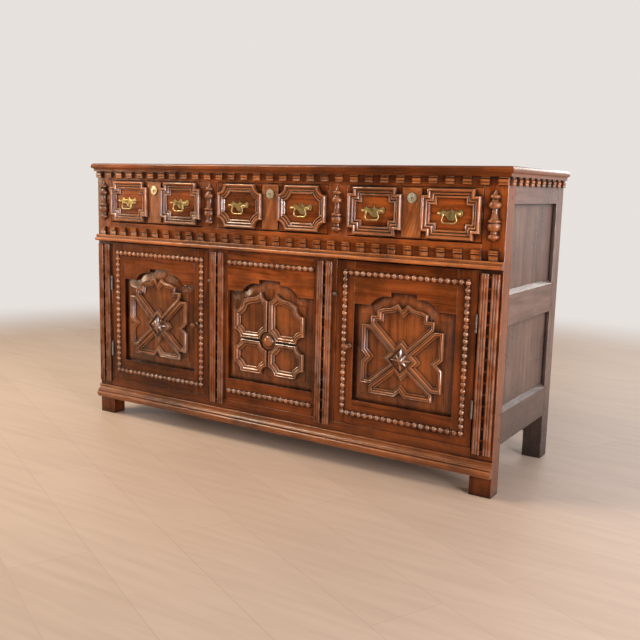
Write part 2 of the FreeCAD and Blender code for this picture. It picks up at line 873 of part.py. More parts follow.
door_beads = bead_frame(
    door_low_x + bead_side_inset, door_high_x - bead_side_inset,
    door_low_z + bead_bottom_inset, door_high_z - bead_top_inset,
)
door_mouldings = saltire_cells(door_middle, door_opening) + [star_boss(door_middle)]
door_nodes = {
    "door_frame": door_stiles + door_rails,
    "door_panel": [door_panel],
    "door_beads": door_beads,
    "door_mouldings": door_mouldings,
    "door_knob": [knob],
    "door_hinge_leaves": door_leaves,
}
for name, shapes in door_nodes.items():
    write("right_" + name, shapes)
    write("left_" + name, [mirrored(shape) for shape in shapes])

# Turn-buttons beside the doors, each on its own screw
button_x = muntin_outer + door_gap - button_door_gap
button_front = -(button_stand_off + button_thickness)
button_steps = [
    (button_x, button_height + button_short),
    (button_x - button_arm + button_end, button_height + button_end),
    (button_x - button_arm, button_height, button_x - button_arm + button_end, button_height - button_end),
    (button_x, button_height - button_short),
    (button_x + button_short, button_height, button_x, button_height + button_short),
]
button = along_y(button_steps, button_front, -button_stand_off)
screw_axis = FreeCAD.Vector(0, 1, 0)
head_seat = button_front - pivot_clearance
button = button.cut(Part.makeCylinder(
    button_screw_radius + pivot_clearance, button_thickness + 2 * cut_over,
    FreeCAD.Vector(button_x, button_front - cut_over, button_height), screw_axis))
screw = turned_forward([
    (0.0, button_screw_length),
    (button_screw_radius, button_screw_length),
    (button_screw_radius, head_seat),
    (button_head_radius, head_seat),
    dome(button_head_radius, head_seat, button_head_height),
], button_x, button_height)
screw_hole = Part.makeCylinder(
    button_screw_radius + pivot_clearance, button_screw_length + joint_clearance,
    FreeCAD.Vector(button_x, 0, button_height), screw_axis)
door_muntin = door_muntin.cut(screw_hole)
write("right_turn_button", [button])
write("left_turn_button", [mirrored(button)])
write("turn_button_screws", on_both_sides([screw]))
write("hinge_fixed_leaves", on_both_sides(fixed_leaves))

# Fixed centre bay: two rails, a fielded panel, four scooped cells round a turned boss
centre_opening = Opening(centre_bay_half, door_opening.low, door_high_z)
centre_board, centre_panel = centre_opening.panel(0.0)
centre_rails = []
centre_tenons = []
for low, high in ((bottom_rail_top, centre_opening.low), (centre_opening.shoulder, door_head)):
    rail = box(-centre_bay_half, centre_bay_half, 0, door_thickness, low, high)
    level = (low + panel_tongue + tenon_shoulder, high - tenon_shoulder)
    if low == bottom_rail_top:
        level = (low + tenon_shoulder, high - panel_tongue - tenon_shoulder)
    tenon = box(centre_bay_half, centre_bay_half + tenon_length, *door_tenon_y, *level)
    centre_tenons.append(tenon)
    centre_rails.append(rail.fuse([tenon, mirrored(tenon)]))
centre_arch = along_y(centre_opening.outline(0.0, 0.0), -cut_over, door_thickness + cut_over)
centre_rails[1] = centre_rails[1].cut(centre_arch)
centre_rails = [rail.cut(room_for(centre_board)) for rail in centre_rails]
door_muntin = door_muntin.cut([room_for(piece) for piece in centre_tenons + [centre_board]])


centre_section = moulding_steps(moulding_shares, centre_moulding_width, panel_moulding_height)


def centre_cells():
    wide = centre_bay_half - panel_bevel - cell_margin
    low = centre_opening.low + panel_bevel + cell_margin - panel_centre_height
    shoulder = centre_opening.shoulder - panel_bevel - cell_margin - panel_centre_height
    crown = centre_opening.crown - panel_bevel - 2 * cell_margin - panel_centre_height
    gap = centre_cell_gap

    def chord(radius, offset):
        return math.sqrt(radius ** 2 - offset ** 2)

    boss = centre_boss_bite
    near = (0.0, 0.0)
    beside = (wide, 0.0)
    lower = bite(near, boss, (gap, -chord(boss, gap)), (chord(boss, gap), -gap))
    lower += bite(beside, centre_bite, (wide - chord(centre_bite, gap), -gap), (wide, -centre_bite))
    lower += bite((wide, low), centre_bite, (wide, low + centre_bite), (wide - centre_bite, low))
    lower += bite((0.0, low), centre_bite, (centre_bite, low), (gap, low + chord(centre_bite, gap)))
    upper = bite(near, boss, (gap, chord(boss, gap)), (chord(boss, gap), gap))
    upper += bite(beside, centre_bite, (wide - chord(centre_bite, gap), gap), (wide, centre_bite))
    corner = (wide, shoulder)
    upper += bite(corner, centre_bite, (wide, shoulder - centre_bite), (wide - centre_bite, shoulder))
    upper += ogee((wide - centre_bite - cell_margin, shoulder + cell_margin), (centre_bite, crown))
    peak = bite((0.0, crown), centre_bite, (centre_bite, crown), (gap, crown - chord(centre_bite, gap)))
    upper += peak[1:]
    cells = []
    for path in (lower, upper):
        placed = [(p[0], panel_centre_height + p[1]) for p in path]
        cells.append(mitred_loop(placed, centre_section, field_y))
    return on_both_sides(cells)


boss_rim_y = field_y - centre_boss_rim
centre_boss = turned_forward([
    (0.0, field_y),
    (centre_boss_radius, field_y),
    (centre_boss_radius, boss_rim_y),
    (centre_button_radius, boss_rim_y),
    dome(centre_button_radius, boss_rim_y, centre_boss_height - centre_boss_rim),
], 0.0, panel_centre_height)
centre_row = bead_profile(centre_bay_width)
centre_bead_levels = (door_low_z + bead_bottom_inset, door_high_z - bead_top_inset)
write("centre_rails", centre_rails)
write("centre_panel", [centre_panel])
write("centre_mouldings", centre_cells() + [centre_boss])
write("centre_beads", [half_turned_level(centre_row, -centre_bay_half, z) for z in centre_bead_levels])

# Drawers, each a lapped and dovetailed box behind a moulded front
drawer_half = drawer_opening_width / 2 - drawer_gap
drawer_low_z = waist_rail_top + drawer_bottom_gap
drawer_high_z = drawer_head - drawer_gap
drawer_side_low = waist_rail_top + drawer_running_gap
drawer_side_high = drawer_high_z - drawer_side_drop
drawer_bottom_low = drawer_side_low + drawer_bottom_lift
drawer_depth = back_rail_y[0] - drawer_back_room
handle_z = drawer_low_z + handle_height
# Section of the drawer frames: three fillets that step down towards the panel, with a hollow below each
drawer_moulding_section = moulding_steps((
    (0.0, 0.0),
    (0.0, 0.6),
    (0.05, 0.86),
    (0.1, 0.97),
    (0.16, 1.0),
    (0.22, 0.97),
    (0.29, 0.86),
    (0.35, 0.68),
    (0.39, 0.46),
    (0.43, 0.44),
    (0.45, 0.55),
    (0.5, 0.58),
    (0.57, 0.52),
    (0.64, 0.39),
    (0.69, 0.23),
    (0.72, 0.22),
    (0.75, 0.35),
    (0.8, 0.43),
    (0.86, 0.42),
    (0.92, 0.34),
    (0.97, 0.2),
    (1.0, 0.05),
    (1.0, 0.0),
), drawer_moulding_width, drawer_moulding_height)


def notched_frame(x_low, x_high, z_low, z_high):
    # A frame with square notches at its corners.
    n = drawer_corner_notch
    return [
        (x_low + n, z_low), (x_high - n, z_low), (x_high - n, z_low + n), (x_high, z_low + n),
        (x_high, z_high - n), (x_high - n, z_high - n), (x_high - n, z_high), (x_low + n, z_high),
        (x_low + n, z_high - n), (x_low, z_high - n), (x_low, z_low + n), (x_low + n, z_low + n),
    ]


def scooped_frame(x_low, x_high, z_low, z_high):
    # A frame with hollow round corners.
    r = drawer_corner_scoop
    return (
        bite((x_low, z_low), r, (x_low, z_low + r), (x_low + r, z_low))
        + bite((x_high, z_low), r, (x_high - r, z_low), (x_high, z_low + r))
        + bite((x_high, z_high), r, (x_high, z_high - r), (x_high - r, z_high))
        + bite((x_low, z_high), r, (x_low + r, z_high), (x_low, z_high - r))
    )


def dovetail(x_low, x_high, level, clearance):
    # One tail of a drawer side, let into the back of the drawer front.
    root = drawer_front_thickness
    tip = drawer_front_thickness - drawer_lap - clearance
    narrow = dovetail_narrow / 2 + clearance
    wide = dovetail_wide / 2 + clearance
    tail = [(root, level - narrow), (tip, level - wide), (tip, level + wide), (root, level + narrow)]
    return along_x(tail, x_low - clearance, x_high + clearance)


def rounded_path(points, radii):
    # Straight runs joined by tangent arcs at the inner points.
    edges = []
    here = points[0]
    for i, radius in enumerate(radii):
        corner = points[i + 1]
        back = (points[i] - corner).normalize()
        ahead = (points[i + 2] - corner).normalize()
        half = math.acos(max(-1.0, min(1.0, back.dot(ahead)))) / 2
        reach = radius / math.tan(half)
        start = corner + back * reach
        end = corner + ahead * reach
        inward = (back + ahead).normalize()
        via = corner + inward * (radius / math.sin(half) - radius)
        edges.append(Part.makeLine(here, start))
        edges.append(Part.Arc(start, via, end).toShape())
        here = end
    edges.append(Part.makeLine(here, points[-1]))
    return Part.Wire(edges)


def bail(x):
    # A swan-necked drop handle of round wire whose ends turn in the two ball posts.
    y = -handle_ball_reach
    end = handle_ball_spacing / 2
    low = handle_z - bail_drop
    points = [
        FreeCAD.Vector(x - end, y, handle_z),
        FreeCAD.Vector(x - bail_neck_half, y, handle_z),
        FreeCAD.Vector(x - bail_foot_half, y, low),
        FreeCAD.Vector(x + bail_foot_half, y, low),
        FreeCAD.Vector(x + bail_neck_half, y, handle_z),
        FreeCAD.Vector(x + end, y, handle_z),
    ]
    path = rounded_path(points, [bail_neck_bend, bail_foot_bend, bail_foot_bend, bail_neck_bend])
    ring = Part.Wire([Part.makeCircle(bail_radius, points[0], FreeCAD.Vector(1, 0, 0))])
    return path.makePipeShell([ring], True, False)


def backplate(x):
    # A flat brass plate with a central peak, two raised wings and a pendant lobe.
    reach = handle_ball_spacing / 2 + backplate_end
    wings = [(a * reach, up_a, b * reach, up_b) for a, up_a, b, up_b in backplate_wing]
    steps = [(x, handle_z + backplate_peak)]
    for via_x, via_z, end_x, end_z in wings:
        steps.append((x + via_x, handle_z + via_z, x + end_x, handle_z + end_z))
    corners = [(0.0, backplate_peak)] + [wing[2:] for wing in wings]
    for wing, corner in zip(wings[::-1], corners[-2::-1]):
        steps.append((x - wing[0], handle_z + wing[1], x - corner[0], handle_z + corner[1]))
    return along_y(steps[1:], -backplate_thickness, 0.0)


def handle_posts(x):
    posts = []
    holes = []
    for side in (-1, 1):
        post_x = x + side * handle_ball_spacing / 2
        shank = Part.makeCylinder(
            handle_post_radius, handle_shank_length + handle_ball_reach,
            FreeCAD.Vector(post_x, -handle_ball_reach, handle_z), FreeCAD.Vector(0, 1, 0))
        ball = Part.makeSphere(handle_ball_radius, FreeCAD.Vector(post_x, -handle_ball_reach, handle_z))
        eye = Part.makeCylinder(
            bail_radius + pivot_clearance, handle_ball_radius + cut_over,
            FreeCAD.Vector(post_x + side * pivot_clearance, -handle_ball_reach, handle_z),
            FreeCAD.Vector(-side, 0, 0))
        posts.append(shank.fuse(ball).cut(eye))
        holes.append(Part.makeCylinder(
            handle_post_radius + joint_clearance, handle_shank_length + backplate_thickness + cut_over,
            FreeCAD.Vector(post_x, joint_clearance - backplate_thickness - cut_over, handle_z),
            FreeCAD.Vector(0, 1, 0)))
    return posts, holes


keyhole_z = drawer_high_z - keyhole_drop


def keyhole(x, y_low, y_high, radius):
    round_part = Part.makeCylinder(
        radius, y_high - y_low, FreeCAD.Vector(x, y_low, keyhole_z), FreeCAD.Vector(0, 1, 0))
    slot = box(x - radius / 2, x + radius / 2, y_low, y_high, keyhole_z - keyhole_slot, keyhole_z)
    return round_part.fuse(slot)


def escutcheon(x):
    # A round brass plate with a small point drawn out at the top and the bottom.
    w = escutcheon_half_width
    h = escutcheon_half_height
    neck = escutcheon_neck_half
    high = keyhole_z + escutcheon_neck_height
    low = keyhole_z - escutcheon_neck_height
    steps = [
        (x + w, keyhole_z, x + neck, high),
        (x, keyhole_z + h, x - neck, high),
        (x - w, keyhole_z, x - neck, low),
        (x, keyhole_z - h, x + neck, low),
    ]
    front = -drawer_plate_thickness - escutcheon_thickness
    plate = along_y(steps, front, -drawer_plate_thickness)
    return plate.cut(keyhole(x, front - cut_over, cut_over, keyhole_radius))


lock_back = drawer_front_thickness
lock_front = drawer_front_thickness - lock_depth
bolt_y = (lock_front + (lock_depth - bolt_thickness) / 2, lock_front + (lock_depth + bolt_thickness) / 2)
bolt_top = drawer_high_z - joint_clearance
lock_top = drawer_high_z


def lock_case(x):
    half = lock_width / 2
    case = box(x - half, x + half, lock_front, lock_back, lock_top - lock_height, lock_top)
    channel = box(
        x - bolt_width / 2 - bolt_clearance, x + bolt_width / 2 + bolt_clearance,
        bolt_y[0] - bolt_clearance, bolt_y[1] + bolt_clearance,
        bolt_top - bolt_height - bolt_clearance, lock_top + cut_over,
    )
    key_way = keyhole(x, lock_front - cut_over, bolt_y[0] - bolt_clearance - lock_wall, keyhole_radius)
    return case.cut([channel, key_way])


def lock_bolt(x):
    return box(x - bolt_width / 2, x + bolt_width / 2, *bolt_y, bolt_top - bolt_height, bolt_top)


def drawer(name, x, frame_path):
    front = box(x - drawer_half, x + drawer_half, 0, drawer_front_thickness, drawer_low_z, drawer_high_z)
    side_span = drawer_side_high - drawer_side_low
    tail_levels = [
        drawer_side_low + side_span * (i + 0.5) / dovetail_count for i in range(dovetail_count)
    ]
    sides = []
    rooms = []
    bottom = box(
        x - drawer_half + drawer_side_thickness / 2, x + drawer_half - drawer_side_thickness / 2,
        drawer_front_thickness, drawer_depth,
        drawer_bottom_low, drawer_bottom_low + drawer_bottom_thickness,
    )
    back = box(
        x - drawer_half + drawer_side_thickness, x + drawer_half - drawer_side_thickness,
        drawer_depth - drawer_side_thickness, drawer_depth,
        drawer_bottom_low + drawer_bottom_thickness, drawer_side_high,
    )
    for low in (x - drawer_half, x + drawer_half - drawer_side_thickness):
        high = low + drawer_side_thickness
        side = box(low, high, drawer_front_thickness, drawer_depth, drawer_side_low, drawer_side_high)
        side = side.fuse([dovetail(low, high, level, 0.0) for level in tail_levels])
        sides.append(side.cut(room_for(bottom)))
        rooms += [dovetail(low, high, level, joint_clearance) for level in tail_levels]
    lock_room = box(
        x - lock_width / 2 - joint_clearance, x + lock_width / 2 + joint_clearance,
        lock_front - joint_clearance, lock_back + cut_over,
        lock_top - lock_height - joint_clearance, lock_top + cut_over,
    )
    fittings = [escutcheon(x), lock_case(x)]
    key_room = keyhole(
        x, -drawer_plate_thickness - cut_over, lock_front + cut_over, keyhole_radius + joint_clearance)
    rooms += [lock_room, key_room]
    for place, side_x in (("left", x - handle_spacing / 2), ("right", x + handle_spacing / 2)):
        posts, holes = handle_posts(side_x)
        fittings += posts
        fittings.append(backplate(side_x).cut(holes))
        rooms += holes
        write(name + "_drawer_bail_" + place, [bail(side_x)])
    mouldings = []
    frame_end = drawer_half - drawer_moulding_margin
    frame_low = drawer_low_z + drawer_moulding_margin
    frame_high = drawer_high_z - drawer_moulding_margin
    for x_low, x_high in ((x + drawer_plate_half, x + frame_end), (x - frame_end, x - drawer_plate_half)):
        path = frame_path(x_low, x_high, frame_low, frame_high)
        mouldings.append(mitred_loop(path, drawer_moulding_section, 0.0))
    plate_half = drawer_plate_half - joint_clearance
    plate = box(x - plate_half, x + plate_half, -drawer_plate_thickness, 0, frame_low, frame_high)
    mouldings.append(plate.cut(key_room))
    write(name + "_drawer_front", [front.cut(rooms)])
    write(name + "_drawer_box", sides + [back, bottom])
    write(name + "_drawer_mouldings", mouldings)
    write(name + "_drawer_fittings", fittings)
    write(name + "_drawer_lock_bolt", [lock_bolt(x)])


drawer_step = drawer_opening_width + drawer_muntin_width
drawer("left", -drawer_step, notched_frame)
drawer("centre", 0.0, scooped_frame)
drawer("right", drawer_step, notched_frame)

# Strikes for the lock bolts in the underside of the top rail
strikes = []
for x in (-drawer_step, 0.0, drawer_step):
    strikes.append(box(
        x - bolt_width / 2 - strike_margin, x + bolt_width / 2 + strike_margin,
        bolt_y[0] - strike_margin, bolt_y[1] + strike_margin,
        drawer_head - cut_over, bolt_top + bolt_throw + 2 * strike_margin,
    ))
front_rails[2] = front_rails[2].cut(strikes)
write("front_rails", front_rails)
write("front_posts", on_both_sides([front_post]))
write("back_posts", on_both_sides([back_post]))
write("drawer_muntins", on_both_sides([drawer_muntin]))
write("door_muntins", on_both_sides([door_muntin]))
write("side_rails", on_both_sides(side_rails))
write("side_panels", on_both_sides(side_panels))
write("joint_pegs", on_both_sides(joint_pegs))
write("back_rails", back_rails)

# Upright back boards between the back posts
board_width = 2 * back_post_inner / back_board_count
back_boards = []
for i in range(back_board_count):
    low = -back_post_inner + i * board_width
    back_boards.append(box(
        low + back_board_gap / 2, low + board_width - back_board_gap / 2,
        back_inner, case_depth, bottom_rail_top - back_rail_height, case_height,
    ))
write("back_boards", back_boards)

# Cupboard floor on the bottom rails, notched round the posts and muntins; its front edge stops the doors
floor_front = door_thickness + joint_clearance
floor_step = (back_inner - floor_front) / floor_board_count
floor_notches = [room_for(piece) for piece in on_both_sides([front_post, back_post])]
floor_notches += [box(
    side * muntin_middle - door_muntin_width / 2 - joint_clearance,
    side * muntin_middle + door_muntin_width / 2 + joint_clearance,
    0, rail_thickness + joint_clearance, bottom_rail_top - cut_over, door_head,
) for side in (-1, 1)]
cupboard_floor = []
for i in range(floor_board_count):
    low = floor_front + i * floor_step
    board = box(
        -side_inner, side_inner, low, low + floor_step - floor_gap,
        bottom_rail_top, bottom_rail_top + floor_thickness,
    )
    cupboard_floor.append(board.cut(floor_notches))
write("cupboard_floor", cupboard_floor)

# Drawer runners from the waist rail to the back rail, with guides on them and stops behind the fronts
runner_low = waist_rail_top - runner_thickness
inner_runner = box(
    drawer_muntin_middle - drawer_muntin_width / 2 - runner_ledge,
    drawer_muntin_middle + drawer_muntin_width / 2 + runner_ledge,
    rail_thickness, back_inner, runner_low, waist_rail_top,
)
inner_guide = box(
    drawer_muntin_middle - drawer_muntin_width / 2, drawer_muntin_middle + drawer_muntin_width / 2,
    rail_thickness, back_inner, waist_rail_top, waist_rail_top + guide_height,
)
outer_runner = box(
    post_inner - runner_ledge, post_inner, rail_thickness, back_inner, runner_low, waist_rail_top)
outer_runner = outer_runner.cut(room_for(back_post))
outer_guide = box(
    post_inner, side_inner, front_post_depth, case_depth - back_post_depth,
    runner_low, waist_rail_top + guide_height,
)
drawer_runners = on_both_sides([inner_runner, inner_guide, outer_runner, outer_guide])
for x in (-drawer_step, 0.0, drawer_step):
    for side in (-1, 1):
        stop_x = x + side * drawer_opening_width / 4
        stop_y = drawer_front_thickness + joint_clearance
        drawer_runners.append(box(
            stop_x - stop_size / 2, stop_x + stop_size / 2, stop_y, rail_thickness,
            waist_rail_top, waist_rail_top + stop_thickness,
        ))
write("drawer_runners", drawer_runners)

# Top board with a rounded nose over a hollow, moulded on the front and both ends
nose = case_height + top_thickness
hollow_top = nose - top_nose_rise
fillet_top = case_height + top_fillet_rise


def nose_steps(edge):
    # The moulded edge from the underside up, as (reach, height) steps beyond the case.
    return [
        (edge - top_fillet_reach, case_height),
        (edge - top_fillet_reach, fillet_top),
        (edge - top_fillet_reach - top_hollow_depth, hollow_top - top_hollow_drop,
         edge - 0.78 * top_overhang, hollow_top),
        (edge - 0.9 * top_overhang, hollow_top),
        (edge - top_overhang, hollow_top + 0.45 * top_nose_rise, edge - 0.55 * top_overhang, nose),
    ]


top_front = nose_steps(0.0) + [(case_depth, nose), (case_depth, case_height)]
top_left = nose_steps(-half_width)
top_right = [(-s[0], s[1]) if len(s) == 2 else (-s[0], s[1], -s[2], s[3]) for s in top_left]
top_ends = list(top_left)
top_ends.append(top_right[-1][-2:])
for i in range(len(top_right) - 1, 0, -1):
    step = top_right[i]
    before = top_right[i - 1][-2:]
    top_ends.append((*step[:2], *before) if len(step) == 4 else before)
board_long = along_x(top_front, -half_width - 2 * top_overhang, half_width + 2 * top_overhang)
board_cross = along_y(top_ends, -2 * top_overhang, case_depth)
write("top_board", [board_long.common(board_cross)])


# Dentils: a stepped block under the top, and a capped block over the waist moulding
def upper_dentil_steps(top):
    h = upper_dentil_height
    r = upper_dentil_reach
    g = dentil_groove
    return [
        (0.0, top), (0.75 * r, top), (0.75 * r, top - 0.16 * h), (r - 2 * g, top - 0.24 * h),
        (r, top - 0.32 * h), (r, top - 0.62 * h), (r - g, top - 0.68 * h), (r - g, top - 0.74 * h),
        (0.92 * r, top - 0.8 * h), (0.92 * r, top - 0.95 * h), (0.7 * r, top - h), (0.0, top - h),
    ]


def lower_dentil_steps(bottom):
    h = lower_dentil_height
    r = lower_dentil_reach
    cap = lower_dentil_cap
    g = dentil_groove
    top = bottom + h
    middle = top - cap / 2
    return [
        (0.0, bottom), (r - 2 * g, bottom), (r - 2 * g, top - cap - g), (r - 3 * g, top - cap),
        (r, top - cap + g), (r, middle - g / 2), (r - g, middle), (r - g / 2, middle + g / 2),
        (r - g / 2, top - g), (r - 2 * g, top), (0.0, top),
    ]


def centred_places(half_length, pitch):
    # Even places about the middle that keep whole blocks within the length.
    count = int((2 * half_length - dentil_width) / pitch + 0.01) + 1
    return [(i - (count - 1) / 2) * pitch for i in range(count)]


waist_bottom = door_head + waist_moulding_bottom_gap
waist_top = waist_bottom + waist_moulding_height
dentils = []
for x in centred_places(half_width, upper_dentil_pitch):
    upper = [(-reach, z) for reach, z in upper_dentil_steps(case_height)]
    dentils.append(along_x(upper, x - dentil_width / 2, x + dentil_width / 2))
for x in centred_places(half_width - dentil_width / 2, lower_dentil_pitch):
    lower = [(-reach, z) for reach, z in lower_dentil_steps(waist_top)]
    dentils.append(along_x(lower, x - dentil_width / 2, x + dentil_width / 2))
side_blocks = []
for y in centred_places(case_depth / 2, upper_dentil_pitch):
    end = [(half_width + reach, z) for reach, z in upper_dentil_steps(case_height)]
    middle = case_depth / 2 + y
    side_blocks.append(along_y(end, middle - dentil_width / 2, middle + dentil_width / 2))
write("dentils", dentils + on_both_sides(side_blocks))

# Waist moulding: a fillet, a hollow and a round nose
r = waist_moulding_reach
f = waist_moulding_fillet
h = waist_moulding_height
waist_steps = [
    (0.0, waist_bottom),
    (-0.55 * r, waist_bottom),
    (-r, waist_bottom + 0.28 * h, -0.62 * r, waist_bottom + 0.56 * h),
    (-0.62 * r, waist_top - f),
    (-0.66 * r, waist_top - f),
    (-0.66 * r, waist_top),
    (0.0, waist_top),
]
write("waist_moulding", [along_x(waist_steps, -half_width, half_width)])

# Base moulding: a bead, a hollow, a second bead and a broad round
r = base_moulding_reach
f = base_moulding_fillet
h = base_moulding_height
low = foot_height
base_steps = [
    (0.0, low),
    (-0.8 * r, low),
    (-0.8 * r, low + 0.1 * h),
    (-r, low + 0.28 * h, -0.74 * r, low + 0.46 * h),
    (-0.62 * r, low + 0.46 * h),
    (-0.72 * r, low + 0.53 * h, -0.5 * r, low + 0.6 * h),
    (-0.3 * r, low + 0.72 * h, -0.26 * r, low + h - f),
    (-0.36 * r, low + h - f / 2, -0.2 * r, low + h),
    (0.0, low + h),
]
write("base_moulding", [along_x(base_steps, -half_width, half_width)])


# Pilasters: two reeded strips with a notched groove between them
def pilaster(x):
    low = bottom_rail_top - pilaster_bottom_drop
    high = door_head - pilaster_top_gap
    strip = (pilaster_width - pilaster_groove_width) / 2
    reed = strip / pilaster_reed_count
    left = x - pilaster_width / 2
    steps = [(left, 0.0), (left, -pilaster_edge)]
    for start in (left, x + pilaster_groove_width / 2):
        if start != left:
            steps.append((start, -pilaster_groove_floor))
            steps.append((start, -pilaster_edge))
        for i in range(pilaster_reed_count):
            middle = start + (i + 0.5) * reed
            crest = -pilaster_edge - pilaster_reed_rise
            steps.append((middle, crest, start + (i + 1) * reed, -pilaster_edge))
        if start == left:
            steps.append((x - pilaster_groove_width / 2, -pilaster_groove_floor))
    steps.append((x + pilaster_width / 2, 0.0))
    body = along_z(steps, low, high)
    count = int((high - low) / pilaster_bridge_pitch)
    bridges = []
    for i in range(count + 1):
        level = (low + high) / 2 + (i - count / 2) * pilaster_bridge_pitch
        bridge_low = max(low, level - pilaster_bridge_length / 2)
        bridge_high = min(high, level + pilaster_bridge_length / 2)
        bridges.append(box(
            x - pilaster_groove_width / 2, x + pilaster_groove_width / 2,
            -pilaster_groove_floor - pilaster_bridge_rise, -pilaster_groove_floor,
            bridge_low, bridge_high,
        ))
    return body.fuse(bridges)


post_middle = half_width - front_post_width / 2
write("pilasters", on_both_sides([pilaster(post_middle), pilaster(muntin_middle)]))

# Split balusters on the posts and the drawer muntins
baluster_low = waist_rail_top + baluster_gap
baluster_height = drawer_opening_height - baluster_gap
b = baluster_height
q = baluster_radius
baluster_steps = [
    (0.0, 0.0),
    (0.02 * b, 0.3 * q, 0.055 * b, 0.58 * q),
    (0.055 * b, 0.72 * q),
    (0.095 * b, 0.88 * q, 0.135 * b, 0.72 * q),
    (0.15 * b, 0.56 * q),
    (0.19 * b, 0.56 * q),
    (0.27 * b, 0.97 * q, 0.335 * b, 0.92 * q),
    (0.335 * b, 0.66 * q),
    (0.35 * b, 0.66 * q),
    (0.385 * b, 1.0 * q, 0.42 * b, 0.74 * q),
    (0.43 * b, 0.7 * q),
    (0.51 * b, 0.52 * q, 0.62 * b, 0.48 * q),
    (0.62 * b, 0.72 * q),
    (0.685 * b, 0.97 * q, 0.75 * b, 0.66 * q),
    (0.79 * b, 0.5 * q),
    (0.81 * b, 0.74 * q),
    (0.845 * b, 0.8 * q, 0.88 * b, 0.6 * q),
    (0.885 * b, 0.44 * q),
    (b, 0.0),
]
baluster_places = (post_middle, drawer_muntin_middle)
balusters = [half_turned_upright(baluster_steps, x, baluster_low) for x in baluster_places]
write("split_balusters", on_both_sides(balusters))
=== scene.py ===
# A joined oak dresser base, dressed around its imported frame.
import json
import math
import random

import bmesh
import bpy
from mathutils import Matrix, Vector


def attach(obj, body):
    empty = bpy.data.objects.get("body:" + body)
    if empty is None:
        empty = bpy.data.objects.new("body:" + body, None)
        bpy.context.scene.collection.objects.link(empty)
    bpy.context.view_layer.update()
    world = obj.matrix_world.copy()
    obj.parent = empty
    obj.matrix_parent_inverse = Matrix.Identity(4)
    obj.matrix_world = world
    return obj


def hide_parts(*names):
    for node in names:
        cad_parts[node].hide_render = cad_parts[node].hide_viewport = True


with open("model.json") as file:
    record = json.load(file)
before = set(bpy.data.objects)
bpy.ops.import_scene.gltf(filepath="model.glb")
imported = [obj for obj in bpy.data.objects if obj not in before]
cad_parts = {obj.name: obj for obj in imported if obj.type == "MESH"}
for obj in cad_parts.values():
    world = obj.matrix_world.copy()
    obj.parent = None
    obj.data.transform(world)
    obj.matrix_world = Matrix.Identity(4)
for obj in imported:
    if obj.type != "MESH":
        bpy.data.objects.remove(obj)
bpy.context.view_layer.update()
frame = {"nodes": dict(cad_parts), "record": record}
nodes = frame["nodes"]
record = frame["record"]
body_of = {node: body for body, names in record["behaviour"]["bodies"].items() for node in names}
slot_of = {part["node"]: part["material_slot"] for part in record["subparts"]}
scene = bpy.context.scene
scene.view_settings.view_transform = "Standard"


# Room: a pale plank floor that fades into a pale surround. Warm light falls from a window on the left and
# from above, cooler light from a broad window on the right, and two weak fills reach the end and the back.
# The eye stands to the right of the front, a little below the height of the top board.
def put(tree, kind, inputs=None, **settings):
    # One node with its settings; an input is a value, or the output that feeds it.
    node = tree.nodes.new(kind)
    for name, value in settings.items():
        setattr(node, name, value)
    for name, value in (inputs or {}).items():
        if isinstance(value, bpy.types.NodeSocket):
            tree.links.new(value, node.inputs[name])
        else:
            node.inputs[name].default_value = value
    return node


def new_material(name):
    # An empty material and its tree.
    material = bpy.data.materials.new(name)
    material.use_nodes = True
    material.node_tree.nodes.clear()
    return material, material.node_tree


def blended(tree, factor, first, second, how="MIX"):
    # A colour mixed from two others.
    mix = put(tree, "ShaderNodeMix", {0: factor, 6: first, 7: second}, data_type="RGBA", blend_type=how)
    return mix.outputs[2]


def reckoned(tree, how, first, second=0.0, third=0.0, clamp=False):
    # A value worked out from up to three others.
    values = {0: first, 1: second, 2: third}
    return put(tree, "ShaderNodeMath", values, operation=how, use_clamp=clamp).outputs[0]


def ramped(tree, value, low, high, to_low=0.0, to_high=1.0):
    # A value carried smoothly from one range to another.
    steps = {"Value": value, "From Min": low, "From Max": high, "To Min": to_low, "To Max": to_high}
    return put(tree, "ShaderNodeMapRange", steps, interpolation_type="SMOOTHSTEP").outputs[0]


def stretched(tree, vector, scale, turn=(0.0, 0.0, 0.0)):
    # A pattern's place, scaled and turned.
    return put(tree, "ShaderNodeMapping", {"Vector": vector, "Scale": scale, "Rotation": turn}).outputs[0]


def noise(tree, vector, scale, detail, roughness=0.5):
    wanted = {"Vector": vector, "Scale": scale, "Detail": detail, "Roughness": roughness}
    return put(tree, "ShaderNodeTexNoise", wanted)


surround_colour = (0.80, 0.755, 0.725, 1.0)
floor_colour = (0.72, 0.55, 0.43, 1.0)
floor_dark = (0.60, 0.44, 0.335, 1.0)
floor_half = 9.0
floor_fade = (2.2, 3.6)
floor_roughness = 0.5
floor_grain = (1.2, 14.0, 1.0)
floor_tones = (0.3, 0.7)
plank_turn = (0.0, 0.0, 0.45)
plank_length = 1.2
plank_width = 0.19
plank_gap = 0.0014
plank_dark = (0.42, 0.42, 0.42, 1)
plank_pale = (0.62, 0.62, 0.62, 1)
plank_joint = (0.2, 0.2, 0.2, 1)

